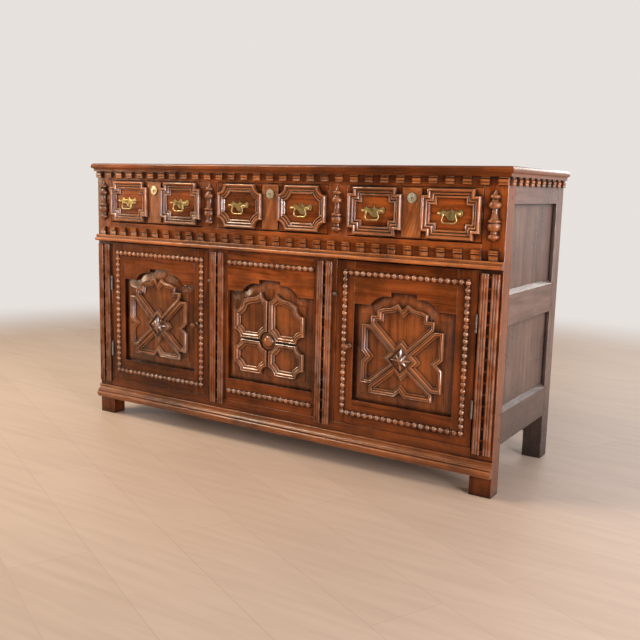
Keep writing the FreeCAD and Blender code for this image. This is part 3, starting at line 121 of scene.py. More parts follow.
floor_material, tree = new_material("pale floor")
place = put(tree, "ShaderNodeTexCoord").outputs["Object"]
grain = noise(tree, stretched(tree, place, floor_grain, plank_turn), 3.0, 5.0)
plank = put(tree, "ShaderNodeTexBrick", {
    "Vector": stretched(tree, place, (1.0, 1.0, 1.0), plank_turn), "Scale": 1.0,
    "Color1": plank_dark, "Color2": plank_pale, "Mortar": plank_joint,
    "Mortar Size": plank_gap, "Brick Width": plank_length, "Row Height": plank_width,
})
tone = blended(tree, 0.5, grain.outputs["Color"], plank.outputs["Color"])
colour = blended(tree, ramped(tree, tone, *floor_tones), floor_dark, floor_colour)
surface = put(tree, "ShaderNodeBsdfPrincipled", {"Base Color": colour, "Roughness": floor_roughness})
far = put(tree, "ShaderNodeVectorMath", {0: place}, operation="LENGTH").outputs["Value"]
seen = put(tree, "ShaderNodeLightPath")
fade = reckoned(tree, "MULTIPLY", ramped(tree, far, *floor_fade), seen.outputs["Is Camera Ray"])
glow = put(tree, "ShaderNodeEmission", {"Color": surround_colour, "Strength": 1.0})
shown = put(tree, "ShaderNodeMixShader", {0: fade, 1: surface.outputs[0], 2: glow.outputs[0]})
put(tree, "ShaderNodeOutputMaterial", {"Surface": shown.outputs[0]})

floor_mesh = bpy.data.meshes.new("floor")
floor_corners = [(x * floor_half, y * floor_half, 0) for x, y in ((-1, -1), (1, -1), (1, 1), (-1, 1))]
floor_mesh.from_pydata(floor_corners, [], [(0, 1, 2, 3)])
floor_mesh.materials.append(floor_material)
floor = bpy.data.objects.new("floor", floor_mesh)
scene.collection.objects.link(floor)

# Walls: pale behind the dresser and beside it. Behind the eye the room is dim, but for a bright wall on the
# right, which the waxed fronts and the brass mirror.
dim_end = (-0.75, -0.15)
dim_share = 0.12
bright_wall = (-0.25, 0.0)
bright_share = 2.0
ambient_colour = (0.93, 0.96, 1.0, 1.0)
ambient_strength = 0.15
scene.world = bpy.data.worlds.new("surround")
scene.world.use_nodes = True
tree = scene.world.node_tree
tree.nodes.clear()
seen = put(tree, "ShaderNodeLightPath")
direct = reckoned(tree, "MAXIMUM", seen.outputs["Is Camera Ray"], seen.outputs["Is Glossy Ray"])
direct = reckoned(tree, "MAXIMUM", direct, seen.outputs["Is Transmission Ray"])
heading = put(tree, "ShaderNodeSeparateXYZ", {0: put(tree, "ShaderNodeTexCoord").outputs["Generated"]})
to_front = ramped(tree, heading.outputs["Y"], *dim_end, 1.0, 0.0)
front_light = ramped(tree, heading.outputs["X"], *bright_wall, dim_share, bright_share)
unseen = reckoned(tree, "SUBTRACT", 1.0, seen.outputs["Is Camera Ray"])
change = reckoned(tree, "MULTIPLY", reckoned(tree, "SUBTRACT", front_light, 1.0), to_front)
wall_light = reckoned(tree, "MULTIPLY_ADD", change, unseen, 1.0)
ambient = put(tree, "ShaderNodeBackground", {"Color": ambient_colour, "Strength": ambient_strength})
pale = put(tree, "ShaderNodeBackground", {"Color": surround_colour, "Strength": wall_light})
both = put(tree, "ShaderNodeMixShader", {0: direct, 1: ambient.outputs[0], 2: pale.outputs[0]})
put(tree, "ShaderNodeOutputWorld", {"Surface": both.outputs[0]})


def soft_light(name, place, aim, size, power, colour):
    # A broad lamp that the eye doesn't see, turned to what it lights.
    lamp = bpy.data.lights.new(name, "AREA")
    lamp.shape = "RECTANGLE"
    lamp.size, lamp.size_y = size
    lamp.energy = power
    lamp.color = colour
    holder = bpy.data.objects.new(name, lamp)
    holder.location = place
    holder.visible_camera = False
    holder.rotation_euler = (Vector(aim) - Vector(place)).to_track_quat("-Z", "Y").to_euler()
    scene.collection.objects.link(holder)


soft_light("window", place=(-4.15, -2.6, 1.2), aim=(-0.3, -0.2, 0.6), size=(0.9, 1.3),
           power=70.0, colour=(1.0, 0.80, 0.54))
soft_light("overhead", place=(-1.7, -1.15, 2.6), aim=(-0.4, -0.1, 0.6), size=(1.6, 0.5),
           power=60.0, colour=(1.0, 0.86, 0.66))
soft_light("far_window", place=(4.1, -1.9, 1.05), aim=(0.4, 0.0, 0.5), size=(1.7, 1.6),
           power=168.0, colour=(0.96, 0.93, 1.0))
soft_light("side_fill", place=(4.0, 1.0, 2.6), aim=(0.6, 0.0, 0.6), size=(2.0, 2.0),
           power=40.0, colour=(0.97, 0.98, 1.0))
soft_light("back_fill", place=(0.6, 5.5, 2.2), aim=(0.0, 0.3, 0.45), size=(2.4, 1.0),
           power=45.0, colour=(1.0, 0.97, 0.93))

eye_point = (1.5493, -2.3861, 0.8558)
eye_yaw = 0.56198
eye_pitch = -0.15748
eye_roll = -0.02432
lens_width = 36.0
lens_length = 46.43
lens = bpy.data.cameras.new("eye")
lens.sensor_fit = "HORIZONTAL"
lens.sensor_width = lens_width
lens.lens = lens_length
turn = Matrix.Rotation(eye_yaw, 4, "Z") @ Matrix.Rotation(eye_pitch, 4, "X")
turn = turn @ Matrix.Rotation(eye_roll, 4, "Y")
eye = bpy.data.objects.new("eye", lens)
eye.matrix_world = Matrix.Translation(eye_point) @ turn @ Matrix.Rotation(math.pi / 2, 4, "X")
scene.collection.objects.link(eye)
scene.camera = eye


# Oak: old boards, riven and planed, stained and waxed for centuries. The grain runs along each board,
# the pores are short dark dashes, the hollows hold dark wax and painted shade, and the arrises are rubbed
# pale.
# A stretch below says how fine a figure is along a board, across it and through it.
board_shift = (31.7, 5.3, 3.1)
bend_stretch = (2.6, 8.0, 8.0)
bend_reach = (0.0, 0.035, 0.035)
ring_stretch = (1.4, 24.0, 19.0)
broad_stretch = (1.6, 34.0, 34.0)
streak_stretch = (5.0, 230.0, 230.0)
dash_stretch = (60.0, 1300.0, 1300.0)
ring_share = 0.06
broad_share = 0.48
streak_share = 0.46
cluster_range = (0.42, 0.62)
fewest_pores = 0.35
dash_range = (0.56, 0.70)
figure_relief = 0.6


def group_tree(name, inputs, outputs, kind="ShaderNodeTree"):
    # A node group with its named inputs and outputs.
    group = bpy.data.node_groups.new(name, kind)
    for socket, sort in inputs:
        group.interface.new_socket(socket, in_out="INPUT", socket_type="NodeSocket" + sort)
    for socket, sort in outputs:
        group.interface.new_socket(socket, in_out="OUTPUT", socket_type="NodeSocket" + sort)
    return group, put(group, "NodeGroupInput"), put(group, "NodeGroupOutput")


oak_figure, start, end = group_tree(
    "oak figure", [("Grain", "Vector"), ("Board", "Float")],
    [("Tone", "Float"), ("Pores", "Float"), ("Height", "Float")])
grain = put(oak_figure, "ShaderNodeVectorMath", {
    0: start.outputs["Board"], 1: board_shift, 2: start.outputs["Grain"]},
    operation="MULTIPLY_ADD").outputs[0]
bend = noise(oak_figure, stretched(oak_figure, grain, bend_stretch), 1.0, 2.0)
bent = put(oak_figure, "ShaderNodeVectorMath", {
    0: bend.outputs["Color"], 1: bend_reach, 2: grain}, operation="MULTIPLY_ADD").outputs[0]
rings = put(oak_figure, "ShaderNodeTexWave", {
    "Vector": stretched(oak_figure, bent, ring_stretch),
    "Scale": 1.0, "Distortion": 5.0, "Detail": 3.0, "Detail Scale": 1.6},
    wave_type="BANDS", bands_direction="DIAGONAL", wave_profile="SIN")
broad = noise(oak_figure, stretched(oak_figure, bent, broad_stretch), 1.0, 3.0)
streaks = noise(oak_figure, stretched(oak_figure, bent, streak_stretch), 1.0, 4.0, 0.65)
dashes = noise(oak_figure, stretched(oak_figure, bent, dash_stretch), 1.0, 1.0)
clusters = ramped(oak_figure, broad.outputs[0], *cluster_range, fewest_pores, 1.0)
pores = reckoned(oak_figure, "MULTIPLY", ramped(oak_figure, dashes.outputs[0], *dash_range), clusters)
tone = reckoned(oak_figure, "MULTIPLY", rings.outputs["Fac"], ring_share)
tone = reckoned(oak_figure, "MULTIPLY_ADD", broad.outputs[0], broad_share, tone)
tone = reckoned(oak_figure, "MULTIPLY_ADD", streaks.outputs[0], streak_share, tone)
relief = reckoned(oak_figure, "SUBTRACT", reckoned(oak_figure, "MULTIPLY", tone, figure_relief), pores)
for output, value in (("Tone", tone), ("Pores", pores), ("Height", relief)):
    oak_figure.links.new(value, end.inputs[output])

hollow_scale = 90.0
hollow_noise = (0.2, 0.7)
hollow_unevenness = (0.75, 1.2)
rub_scale = 38.0
rub_range = (0.30, 0.62)
least_rubbed = 0.15
patch_scale = 6.5
wave_scale = 16.0
low_darkening_height = (0.02, 0.50)
low_darkening_raggedness = 0.09

wear_and_shade_group, start, end = group_tree(
    "wax and rubbing", [("Edge", "Float"), ("Reach", "Float"), ("Nook Reach", "Float")],
    [(mask, "Float") for mask in ("Hollow", "Nook", "Rubbed", "Patches", "Waves", "Scuffs")])
place = put(wear_and_shade_group, "ShaderNodeTexCoord").outputs["Object"]
# Hollow: occlusion over a short reach, made uneven. Oak darkens by it with dark wax and painted shade, brass
# with tarnish.
open_sky = put(wear_and_shade_group, "ShaderNodeAmbientOcclusion", {"Distance": start.outputs["Reach"]}, samples=8)
closed = reckoned(wear_and_shade_group, "SUBTRACT", 1.0, open_sky.outputs["AO"])
rough_hollow = noise(wear_and_shade_group, place, hollow_scale, 3.0)
hollow_share = ramped(wear_and_shade_group, rough_hollow.outputs[0], *hollow_noise, *hollow_unevenness)
hollow = reckoned(wear_and_shade_group, "MULTIPLY", closed, hollow_share)
# Painted shade: occlusion over a wider reach darkens boards near frames and in recesses.
wide_sky = put(wear_and_shade_group, "ShaderNodeAmbientOcclusion", {"Distance": start.outputs["Nook Reach"]}, samples=6)
painted_nook_shade = reckoned(wear_and_shade_group, "SUBTRACT", 1.0, wide_sky.outputs["AO"])
rub_noise = noise(wear_and_shade_group, place, rub_scale, 4.0)
rub_share = ramped(wear_and_shade_group, rub_noise.outputs[0], *rub_range, least_rubbed, 1.0)
rubbed = reckoned(wear_and_shade_group, "MULTIPLY", start.outputs["Edge"], rub_share)
patches = noise(wear_and_shade_group, place, patch_scale, 5.0, 0.62).outputs[0]
waves = noise(wear_and_shade_group, place, wave_scale, 1.0).outputs[0]
# Colour darker towards the floor, with a ragged top edge.
height = put(wear_and_shade_group, "ShaderNodeSeparateXYZ", {0: place}).outputs["Z"]
ragged = reckoned(wear_and_shade_group, "MULTIPLY_ADD", rub_noise.outputs[0], low_darkening_raggedness, height)
low_darkening = ramped(wear_and_shade_group, ragged, *low_darkening_height, 1.0, 0.0)
masks = {"Hollow": hollow, "Nook": painted_nook_shade, "Rubbed": rubbed,
         "Patches": patches, "Waves": waves, "Scuffs": low_darkening}
for output, value in masks.items():
    wear_and_shade_group.links.new(value, end.inputs[output])


def wear_and_shade_of(tree, reach, painted_shade_reach):
    # The shared wear and painted shade of a surface, told where its arrises are by the piece's own attribute.
    edge = put(tree, "ShaderNodeAttribute", attribute_name="edge")
    wear_and_shade = put(tree, "ShaderNodeGroup", node_tree=wear_and_shade_group)
    tree.links.new(edge.outputs["Fac"], wear_and_shade.inputs["Edge"])
    wear_and_shade.inputs["Reach"].default_value = reach
    wear_and_shade.inputs["Nook Reach"].default_value = painted_shade_reach
    return wear_and_shade.outputs


painted_shade_spread = 3.0
figure_range = (0.33, 0.66)
patch_range = (0.40, 0.68)
patch_most = 0.75
board_tints = (0.66, 1.42)
blotch_range = (0.32, 0.54)
painted_shade_range = (0.04, 0.45)
fading_and_sheen_most = 0.75
pore_darkness = 0.5
rub_paleness = 0.85
wax_and_shade_darkness = 0.92
patch_dullness = 0.25
patch_mean = 0.12
hollow_dullness = 0.10
pore_dullness = 0.15
planing_depth = 0.004
figure_depth = 0.0005
figure_strength = 0.35
polish_range = (0.08, 0.36)
polish_roughness = 0.15
polish_index = 1.7


def oak(name, dark, mid, pale, faded, rubbed, dark_wax_and_shade, wax, hollow_reach, hollow_range, planing,
        roughness=0.20, low_darkness=0.5, blotch=0.6, painted_nook_shade=0.3):
    # One finish of oak; the board's own grain, tone, edges and its fading with painted sheen come from the
    # piece's attributes, and painted shade darkens its hollows and nooks.
    material, tree = new_material(name)
    grain = put(tree, "ShaderNodeAttribute", attribute_name="grain")
    board = put(tree, "ShaderNodeAttribute", attribute_name="board").outputs["Fac"]
    # The greyed ends: daylight fading and a painted sheen.
    fading_and_sheen = put(tree, "ShaderNodeAttribute", attribute_name="faded").outputs["Fac"]
    figure = put(tree, "ShaderNodeGroup", node_tree=oak_figure).outputs
    figure_inputs = figure[0].node.inputs
    tree.links.new(grain.outputs["Vector"], figure_inputs["Grain"])
    tree.links.new(board, figure_inputs["Board"])
    wear_and_shade = wear_and_shade_of(tree, hollow_reach, painted_shade_spread * hollow_reach)
    colour = blended(tree, ramped(tree, figure["Tone"], *figure_range), dark, mid)
    patch = ramped(tree, wear_and_shade["Patches"], *patch_range, 0.0, patch_most)
    colour = blended(tree, patch, colour, blended(tree, 1.0, colour, pale, "MULTIPLY"))
    tint = ramped(tree, board, 0.0, 1.0, *board_tints)
    tint = reckoned(tree, "MULTIPLY", tint, ramped(tree, wear_and_shade["Patches"], *blotch_range, blotch, 1.0))
    # Painted shade: the boards darken towards frames and into recesses.
    tint = reckoned(tree, "MULTIPLY", tint, ramped(tree, wear_and_shade["Nook"], *painted_shade_range, 1.0, painted_nook_shade))
    tint_colour = put(tree, "ShaderNodeCombineColor", {"Red": tint, "Green": tint, "Blue": tint})
    colour = blended(tree, 1.0, colour, tint_colour.outputs[0], "MULTIPLY")
    # The hollows go towards the dark colour: dark wax lodged there, and painted shade.
    hollow = ramped(tree, wear_and_shade["Hollow"], *hollow_range)
    coats = ((fading_and_sheen, fading_and_sheen_most, faded), (figure["Pores"], pore_darkness, dark_wax_and_shade),
             (wear_and_shade["Rubbed"], rub_paleness, rubbed), (hollow, wax_and_shade_darkness, dark_wax_and_shade),
             (wear_and_shade["Scuffs"], low_darkness, dark_wax_and_shade))
    for mask, most, coat in coats:
        colour = blended(tree, reckoned(tree, "MULTIPLY", mask, most), colour, coat)
    dullness = reckoned(tree, "MULTIPLY_ADD", wear_and_shade["Patches"], patch_dullness, roughness - patch_mean)
    dullness = reckoned(tree, "MULTIPLY_ADD", hollow, hollow_dullness, dullness)
    dullness = reckoned(tree, "MULTIPLY_ADD", figure["Pores"], pore_dullness, dullness, clamp=True)
    planed = put(tree, "ShaderNodeBump", {
        "Height": wear_and_shade["Waves"], "Strength": planing, "Distance": planing_depth})
    fine = put(tree, "ShaderNodeBump", {
        "Height": figure["Height"], "Strength": figure_strength, "Distance": figure_depth,
        "Normal": planed.outputs[0]})
    polish = ramped(tree, wear_and_shade["Rubbed"], *polish_range)
    surface = put(tree, "ShaderNodeBsdfPrincipled", {
        "Base Color": colour, "Roughness": dullness, "Normal": fine.outputs[0], "Specular IOR Level": wax,
        "Coat Weight": polish, "Coat Roughness": polish_roughness, "Coat IOR": polish_index})
    put(tree, "ShaderNodeOutputMaterial", {"Surface": surface.outputs[0]})
    return material


waxed_oak = oak(
    "waxed oak", dark=(0.108, 0.022, 0.0034, 1), mid=(0.305, 0.073, 0.0118, 1), pale=(1.6, 1.5, 1.4, 1),
    faded=(0.22, 0.10, 0.06, 1), rubbed=(0.62, 0.27, 0.12, 1), dark_wax_and_shade=(0.008, 0.0034, 0.0022, 1),
    wax=0.22, hollow_reach=0.020, hollow_range=(0.12, 0.62), planing=0.34)
worn_oak = oak(
    "worn side oak", dark=(0.092, 0.056, 0.043, 1), mid=(0.19, 0.120, 0.094, 1), pale=(1.35, 1.3, 1.26, 1),
    faded=(0.16, 0.085, 0.055, 1), rubbed=(0.38, 0.22, 0.14, 1), dark_wax_and_shade=(0.012, 0.007, 0.005, 1),
    roughness=0.30, wax=0.5, hollow_reach=0.02, hollow_range=(0.16, 0.7), planing=0.3, low_darkness=0.9,
    blotch=0.86, painted_nook_shade=0.4)
bare_oak = oak(
    "bare inner oak", dark=(0.15, 0.085, 0.042, 1), mid=(0.33, 0.21, 0.115, 1), pale=(1.25, 1.22, 1.18, 1),
    faded=(0.3, 0.2, 0.12, 1), rubbed=(0.42, 0.29, 0.17, 1), dark_wax_and_shade=(0.03, 0.018, 0.011, 1),
    roughness=0.66, wax=0.3, hollow_reach=0.03, hollow_range=(0.35, 1.0), planing=0.25, blotch=0.85)
finish_of = {"waxed_oak": waxed_oak, "worn_oak": worn_oak, "bare_oak": bare_oak}

merge_digits = 6
flat_angle = math.radians(0.5)


def copied(node):
    # A node's solids as one mesh. Its loose triangles come solid by solid, and a solid is whole once each of
    # its edges has met its pair, so solids that only touch stay apart.
    source = nodes[node].data
    mesh = bmesh.new()
    joined = {}
    unpaired = set()
    for triangle in source.polygons:
        corners = []
        for index in triangle.vertices:
            spot = tuple(round(c, merge_digits) for c in source.vertices[index].co)
            if spot not in joined:
                joined[spot] = mesh.verts.new(spot)
            corners.append((spot, joined[spot]))
        if len({spot for spot, vert in corners}) < 3:
            continue
        mesh.faces.new([vert for spot, vert in corners])
        for i in range(3):
            pair = (corners[i][0], corners[i - 1][0])
            if pair in unpaired:
                unpaired.discard(pair)
            else:
                unpaired.add(pair[::-1])
        if not unpaired:
            joined = {}
    bmesh.ops.dissolve_limit(mesh, angle_limit=flat_angle, verts=mesh.verts, edges=mesh.edges)
    return mesh


def boards_of(mesh):
    # The separate solids of a mesh, as lists of faces in a settled order.
    mesh.faces.ensure_lookup_table()
    mesh.faces.index_update()
    met = [False] * len(mesh.faces)
    groups = []
    for face in mesh.faces:
        if met[face.index]:
            continue
        met[face.index] = True
        group = [face]
        for member in group:
            for edge in member.edges:
                for other in edge.link_faces:
                    if not met[other.index]:
                        met[other.index] = True
                        group.append(other)
        groups.append(group)
    return groups


def box_of(faces):
    # The two opposite corners of the box round some faces.
    points = [vert.co for face in faces for vert in face.verts]
    low = Vector([min(p[i] for p in points) for i in range(3)])
    high = Vector([max(p[i] for p in points) for i in range(3)])
    return low, high


crest_start = 0.06
crest_full = 0.34
finely_worked = 100
plain_face = 0.0015
faces_front = -0.9
squarely_front = -0.95
sharpest = math.radians(26)
shortest = 0.003
arris_rub = 0.25


def mark(faces, layer, amount):
    # One amount of rubbing all over some faces.
    for face in faces:
        for corner in face.loops:
            corner[layer] = amount


def ease(mesh, width, crests=0.0, facet_rub_and_highlight=0.0):
    # The sharp arrises of each solid, taken off in a small round and marked for rubbing. On mouldings and
    # turnings, which have many small faces, the crests are marked instead and the shape is left alone.
    edge_layer = mesh.loops.layers.float.new("edge")
    arrises = []
    for group in boards_of(mesh):
        flat = any(face.normal.y < faces_front and face.calc_area() > plain_face for face in group)
        if crests and not flat and len(group) > finely_worked:
            bulge = {}
            for vert in {vert for face in group for vert in face.verts}:
                angles = [edge.calc_face_angle_signed() for edge in vert.link_edges if edge.is_manifold]
                mean = sum(angles) / len(angles) if angles else 0.0
                bulge[vert] = crests * min(1.0, max(0.0, (mean - crest_start) / (crest_full - crest_start)))
            for face in group:
                for corner in face.loops:
                    corner[edge_layer] = bulge[corner.vert]
        else:
            # Faces that don't face squarely forward are rubbed by the facet amount; on the carved star this
            # is wear and a painted highlight.
            for face in group:
                mark([face], edge_layer, 0.0 if flat or face.normal.y < squarely_front else facet_rub_and_highlight)
            edges = {edge.index: edge for face in group for edge in face.edges}
            arrises.append([edge for edge in edges.values() if edge.is_manifold
                            and edge.calc_length() > shortest and edge.calc_face_angle_signed() > sharpest])
    for edges in arrises:
        made = bmesh.ops.bevel(
            mesh, geom=edges, offset=width, offset_type="OFFSET", segments=2, profile=0.5,
            affect="EDGES", clamp_overlap=True)
        mark(made["faces"], edge_layer, arris_rub)


def grain_along_boards(mesh, seed, tones, upright=False):
    # Texture places that run along each board, and a tone of its own for each.
    draw = random.Random(seed)
    grain_layer = mesh.loops.layers.float_vector.new("grain")
    board_layer = mesh.faces.layers.float.new("board")
    for group in boards_of(mesh):
        low, high = box_of(group)
        order = sorted(range(3), key=lambda i: low[i] - high[i])
        if upright:
            order = [2, 0, 1]
        shade = draw.uniform(*tones)
        for face in group:
            face[board_layer] = shade
            for corner in face.loops:
                corner[grain_layer] = [corner.vert.co[i] for i in order]


steep_run = 0.9


def grain_along_runs(mesh, seed, tones):
    # The same for a moulding that turns corners: the grain follows each face's longest edge.
    draw = random.Random(seed)
    grain_layer = mesh.loops.layers.float_vector.new("grain")
    board_layer = mesh.faces.layers.float.new("board")
    for group in boards_of(mesh):
        shade = draw.uniform(*tones)
        for face in group:
            face[board_layer] = shade
            longest = max(face.edges, key=lambda edge: edge.calc_length())
            run = (longest.verts[1].co - longest.verts[0].co).normalized()
            across = Vector((0, 1, 0)) if abs(run.y) < steep_run else Vector((1, 0, 0))
            third = run.cross(across)
            for corner in face.loops:
                co = corner.vert.co
                corner[grain_layer] = (co.dot(run), co.dot(across), co.dot(third))


fade_and_sheen_slope = 2.0
fade_and_sheen_start = 0.6


def fade_and_sheen_outsides(mesh):
    # The outer faces at the two ends of the case are greyed: faded by daylight, and a painted sheen.
    fade_and_sheen_layer = mesh.faces.layers.float.new("faded")
    for face in mesh.faces:
        outward = face.normal.x if face.calc_center_median().x > 0 else -face.normal.x
        face[fade_and_sheen_layer] = min(1.0, max(0.0, fade_and_sheen_slope * outward - fade_and_sheen_start))


def as_data(name, mesh):
    # The worked mesh as one that an object can hold.
    data = bpy.data.meshes.new(name)
    mesh.to_mesh(data)
    mesh.free()
    return data


crisp_angle = math.radians(48)


def finish(name, data, material, node):
    # The mesh as a piece that moves with the body of its node and stands for that node.
    data.materials.clear()
    data.materials.append(material)
    data.shade_smooth()
    data.set_sharp_from_angle(angle=crisp_angle)
    piece = bpy.data.objects.new(name, data)
    scene.collection.objects.link(piece)
    evened = piece.modifiers.new("even light", "WEIGHTED_NORMAL")
    evened.keep_sharp = True
    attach(piece, body_of[node])
    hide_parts(node)


plain_tones = (0.2, 0.75)


def timber(node, width, seed, tones=plain_tones, runs=False, crests=0.0, facet_rub_and_highlight=0.0, upright=False,
           fades_and_sheens=False, look=None, carve=None):
    # An eased copy of a wooden node in its own finish or another one. Where the node's solids are plainer
    # than the real piece, it is carved first.
    mesh = copied(node)
    if carve:
        carve(mesh)
    ease(mesh, width, crests, facet_rub_and_highlight)
    if runs:
        grain_along_runs(mesh, seed, tones)
    else:
        grain_along_boards(mesh, seed, tones, upright)
    if fades_and_sheens:
        fade_and_sheen_outsides(mesh)
    finish(node + "_eased", as_data(node, mesh), look or finish_of[slot_of[node]], node)


# Frame: four posts that run down as feet, with the rails and muntins tenoned between them.
# All are sawn oak, planed by hand, and their outer arrises are worn round. The rails of the front are
# blotched less than the posts, and darker towards the floor.
rail_oak = oak(
    "waxed rail oak", dark=(0.112, 0.023, 0.0036, 1), mid=(0.31, 0.075, 0.012, 1), pale=(1.6, 1.5, 1.4, 1),
    faded=(0.22, 0.10, 0.06, 1), rubbed=(0.62, 0.27, 0.12, 1), dark_wax_and_shade=(0.012, 0.0045, 0.0026, 1),
    wax=0.26, hollow_reach=0.014, hollow_range=(0.4, 1.0), planing=0.34, low_darkness=0.85,
    blotch=0.75, painted_nook_shade=0.85)
timber("front_posts", width=0.0018, seed=0, fades_and_sheens=True)
timber("back_posts", width=0.0018, seed=1)
for seed, node in enumerate(("front_rails", "drawer_muntins", "door_muntins"), 2):
    timber(node, width=0.0009, seed=seed, look=rail_oak)

# Sides and back: thin oak panels slipped into grooved rails, and plain upright boards behind,
# with nothing but wood in their joints.
for seed, node in enumerate(("side_rails", "side_panels", "back_rails", "back_boards"), 10):
    timber(node, width=0.0012, seed=seed, upright=node == "side_panels")

# Inside: floor boards laid on the rails, and runners, guides and stops for the drawers.
# They are sawn oak, left bare and dusty.
for seed, node in enumerate(("cupboard_floor", "drawer_runners"), 20):
    timber(node, width=0.0008, seed=seed)

# Top: one wide oak board with a rounded nose over a hollow, worked with planes and laid over the frame.
# It is darker than the rails, and greyed at its ends by daylight and a painted sheen.
timber("top_board", width=0.0012, seed=30, tones=(0.15, 0.3), fades_and_sheens=True, look=rail_oak)

# Mouldings of the case: long runs of oak worked with planes and nailed along the rails.
# Hands and dusters have polished them paler than the boards that carry them.
moulding_oak = oak(
    "polished moulding oak", dark=(0.165, 0.041, 0.0078, 1), mid=(0.38, 0.118, 0.027, 1),
    pale=(1.5, 1.45, 1.4, 1), faded=(0.22, 0.10, 0.06, 1), rubbed=(0.64, 0.295, 0.13, 1),
    dark_wax_and_shade=(0.008, 0.0034, 0.0022, 1),
    wax=0.55, hollow_reach=0.012, hollow_range=(0.12, 0.52), planing=0.2)
for seed, node in enumerate(("waist_moulding", "base_moulding"), 40):
    timber(node, width=0.0007, seed=seed, tones=(0.75, 0.95), fades_and_sheens=True, look=moulding_oak)

# Pilasters: pairs of reeded oak strips with a notched groove between them,
# glued to the posts and the muntins.
timber("pilasters", width=0.0005, seed=45, crests=0.3)

# Split balusters: turned from two pieces of oak held together for the turning, parted down the middle
# and glued on, polished dark and bright.
timber("split_balusters", width=0.0006, seed=50, tones=(0.25, 0.45), crests=0.25, look=moulding_oak)

# Dentils and pegs: blocks sawn from one moulded strip and glued in a row, and riven pegs driven through
# the tenons. Each row is set out by one tree that gives every block its own tilt and tone.
block_tones = (0.4, 0.85)


def pattern_for(tree, piece):
    # The object that a tree copies, as a single instance about its own middle.
    wanted = {"Object": piece, "As Instance": True}
    return put(tree, "GeometryNodeObjectInfo", wanted, transform_space="ORIGINAL").outputs["Geometry"]


def drawn(tree, least, most, seed):
    # A random value for each copy.
    wanted = {2: least, 3: most, "Seed": seed}
    return put(tree, "FunctionNodeRandomValue", wanted, data_type="FLOAT").outputs[1]


def toned_and_joined(tree, start, end, copies, tones):
    # Every copy gets a tone of its own, and all become one plain mesh in the finish asked for.
    toned = put(tree, "GeometryNodeStoreNamedAttribute", {
        "Geometry": copies.outputs[0], "Name": "board", "Value": drawn(tree, *tones, start.outputs["Seed"])},
        data_type="FLOAT", domain="INSTANCE")
    whole = put(tree, "GeometryNodeRealizeInstances", {"Geometry": toned.outputs[0]})
    coloured = put(tree, "GeometryNodeSetMaterial", {
        "Geometry": whole.outputs[0], "Material": start.outputs["Finish"]})
    tree.links.new(coloured.outputs[0], end.inputs["Geometry"])


set_out, start, end = group_tree(
    "set out at places",
    [("Places", "Geometry"), ("Piece", "Object"), ("Tilt", "Float"), ("Seed", "Int"), ("Finish", "Material")],
    [("Geometry", "Geometry")], "GeometryNodeTree")
least, most = [
    put(set_out, "ShaderNodeVectorMath", {0: start.outputs["Tilt"], 1: (way, way, way)}, operation="MULTIPLY")
    for way in (-1, 1)]
tilt = put(set_out, "FunctionNodeRandomValue", {
    0: least.outputs[0], 1: most.outputs[0], "Seed": start.outputs["Seed"]}, data_type="FLOAT_VECTOR")
blocks = put(set_out, "GeometryNodeInstanceOnPoints", {
    "Points": start.outputs["Places"], "Instance": pattern_for(set_out, start.outputs["Piece"]),
    "Rotation": tilt.outputs[0]})
toned_and_joined(set_out, start, end, blocks, block_tones)


def grown(group, base, values):
    # The plain mesh that a tree makes on a base mesh, with its named inputs set first.
    holder = bpy.data.objects.new(base.name, base)
    scene.collection.objects.link(holder)
    modifier = holder.modifiers.new("setting out", "NODES")
    modifier.node_group = group
    for item in group.interface.items_tree:
        if item.in_out == "INPUT" and item.name in values:
            modifier[item.identifier] = values[item.name]
    depsgraph = bpy.context.evaluated_depsgraph_get()
    data = bpy.data.meshes.new_from_object(
        holder.evaluated_get(depsgraph), preserve_all_data_layers=True, depsgraph=depsgraph)
    holder.modifiers.remove(modifier)
    bpy.data.objects.remove(holder)
    return data


def alone(mesh, faces, middle):
    # One solid of a mesh as a mesh of its own, about its middle.
    single = bmesh.new()
    moved = {}
    for face in faces:
        for vert in face.verts:
            if vert not in moved:
                moved[vert] = single.verts.new(vert.co - middle)
        single.faces.new([moved[vert] for vert in face.verts])
    return single


millimetres = 1000


def like_blocks(node):
    # The solids of a node sorted into like ones: for each kind, one solid and the middles of all.
    mesh = copied(node)
    kinds = {}
    for faces in boards_of(mesh):
        low, high = box_of(faces)
        middle = (low + high) / 2
        hand = math.copysign(1, middle.x) if high.y - low.y > high.x - low.x else 0
        kind = (hand, *[round(side * millimetres) for side in high - low])
        if kind not in kinds:
            kinds[kind] = (alone(mesh, faces, middle), [])
        kinds[kind][1].append(middle)
    mesh.free()
    return list(kinds.values())


def set_in_rows(node, width, tilt, seed, look):
    # The rows of a node: one eased block of each kind, set out at the places of its like.
    rows = bmesh.new()
    for number, (single, middles) in enumerate(like_blocks(node)):
        ease(single, width)
        grain_along_boards(single, seed, plain_tones)
        single.faces.layers.float.remove(single.faces.layers.float["board"])
        pattern_piece = bpy.data.objects.new(node + "_pattern", as_data(node + "_pattern", single))
        places = bpy.data.meshes.new(node + "_places")
        places.from_pydata([tuple(middle) for middle in middles], [], [])
        row = grown(set_out, places, {
            "Piece": pattern_piece, "Tilt": tilt, "Seed": seed + number, "Finish": look})
        rows.from_mesh(row)
        bpy.data.objects.remove(pattern_piece)
    finish(node + "_rows", as_data(node, rows), look, node)


set_in_rows("dentils", width=0.0008, tilt=0.008, seed=60, look=moulding_oak)
set_in_rows("joint_pegs", width=0.0005, tilt=0.0, seed=64, look=worn_oak)

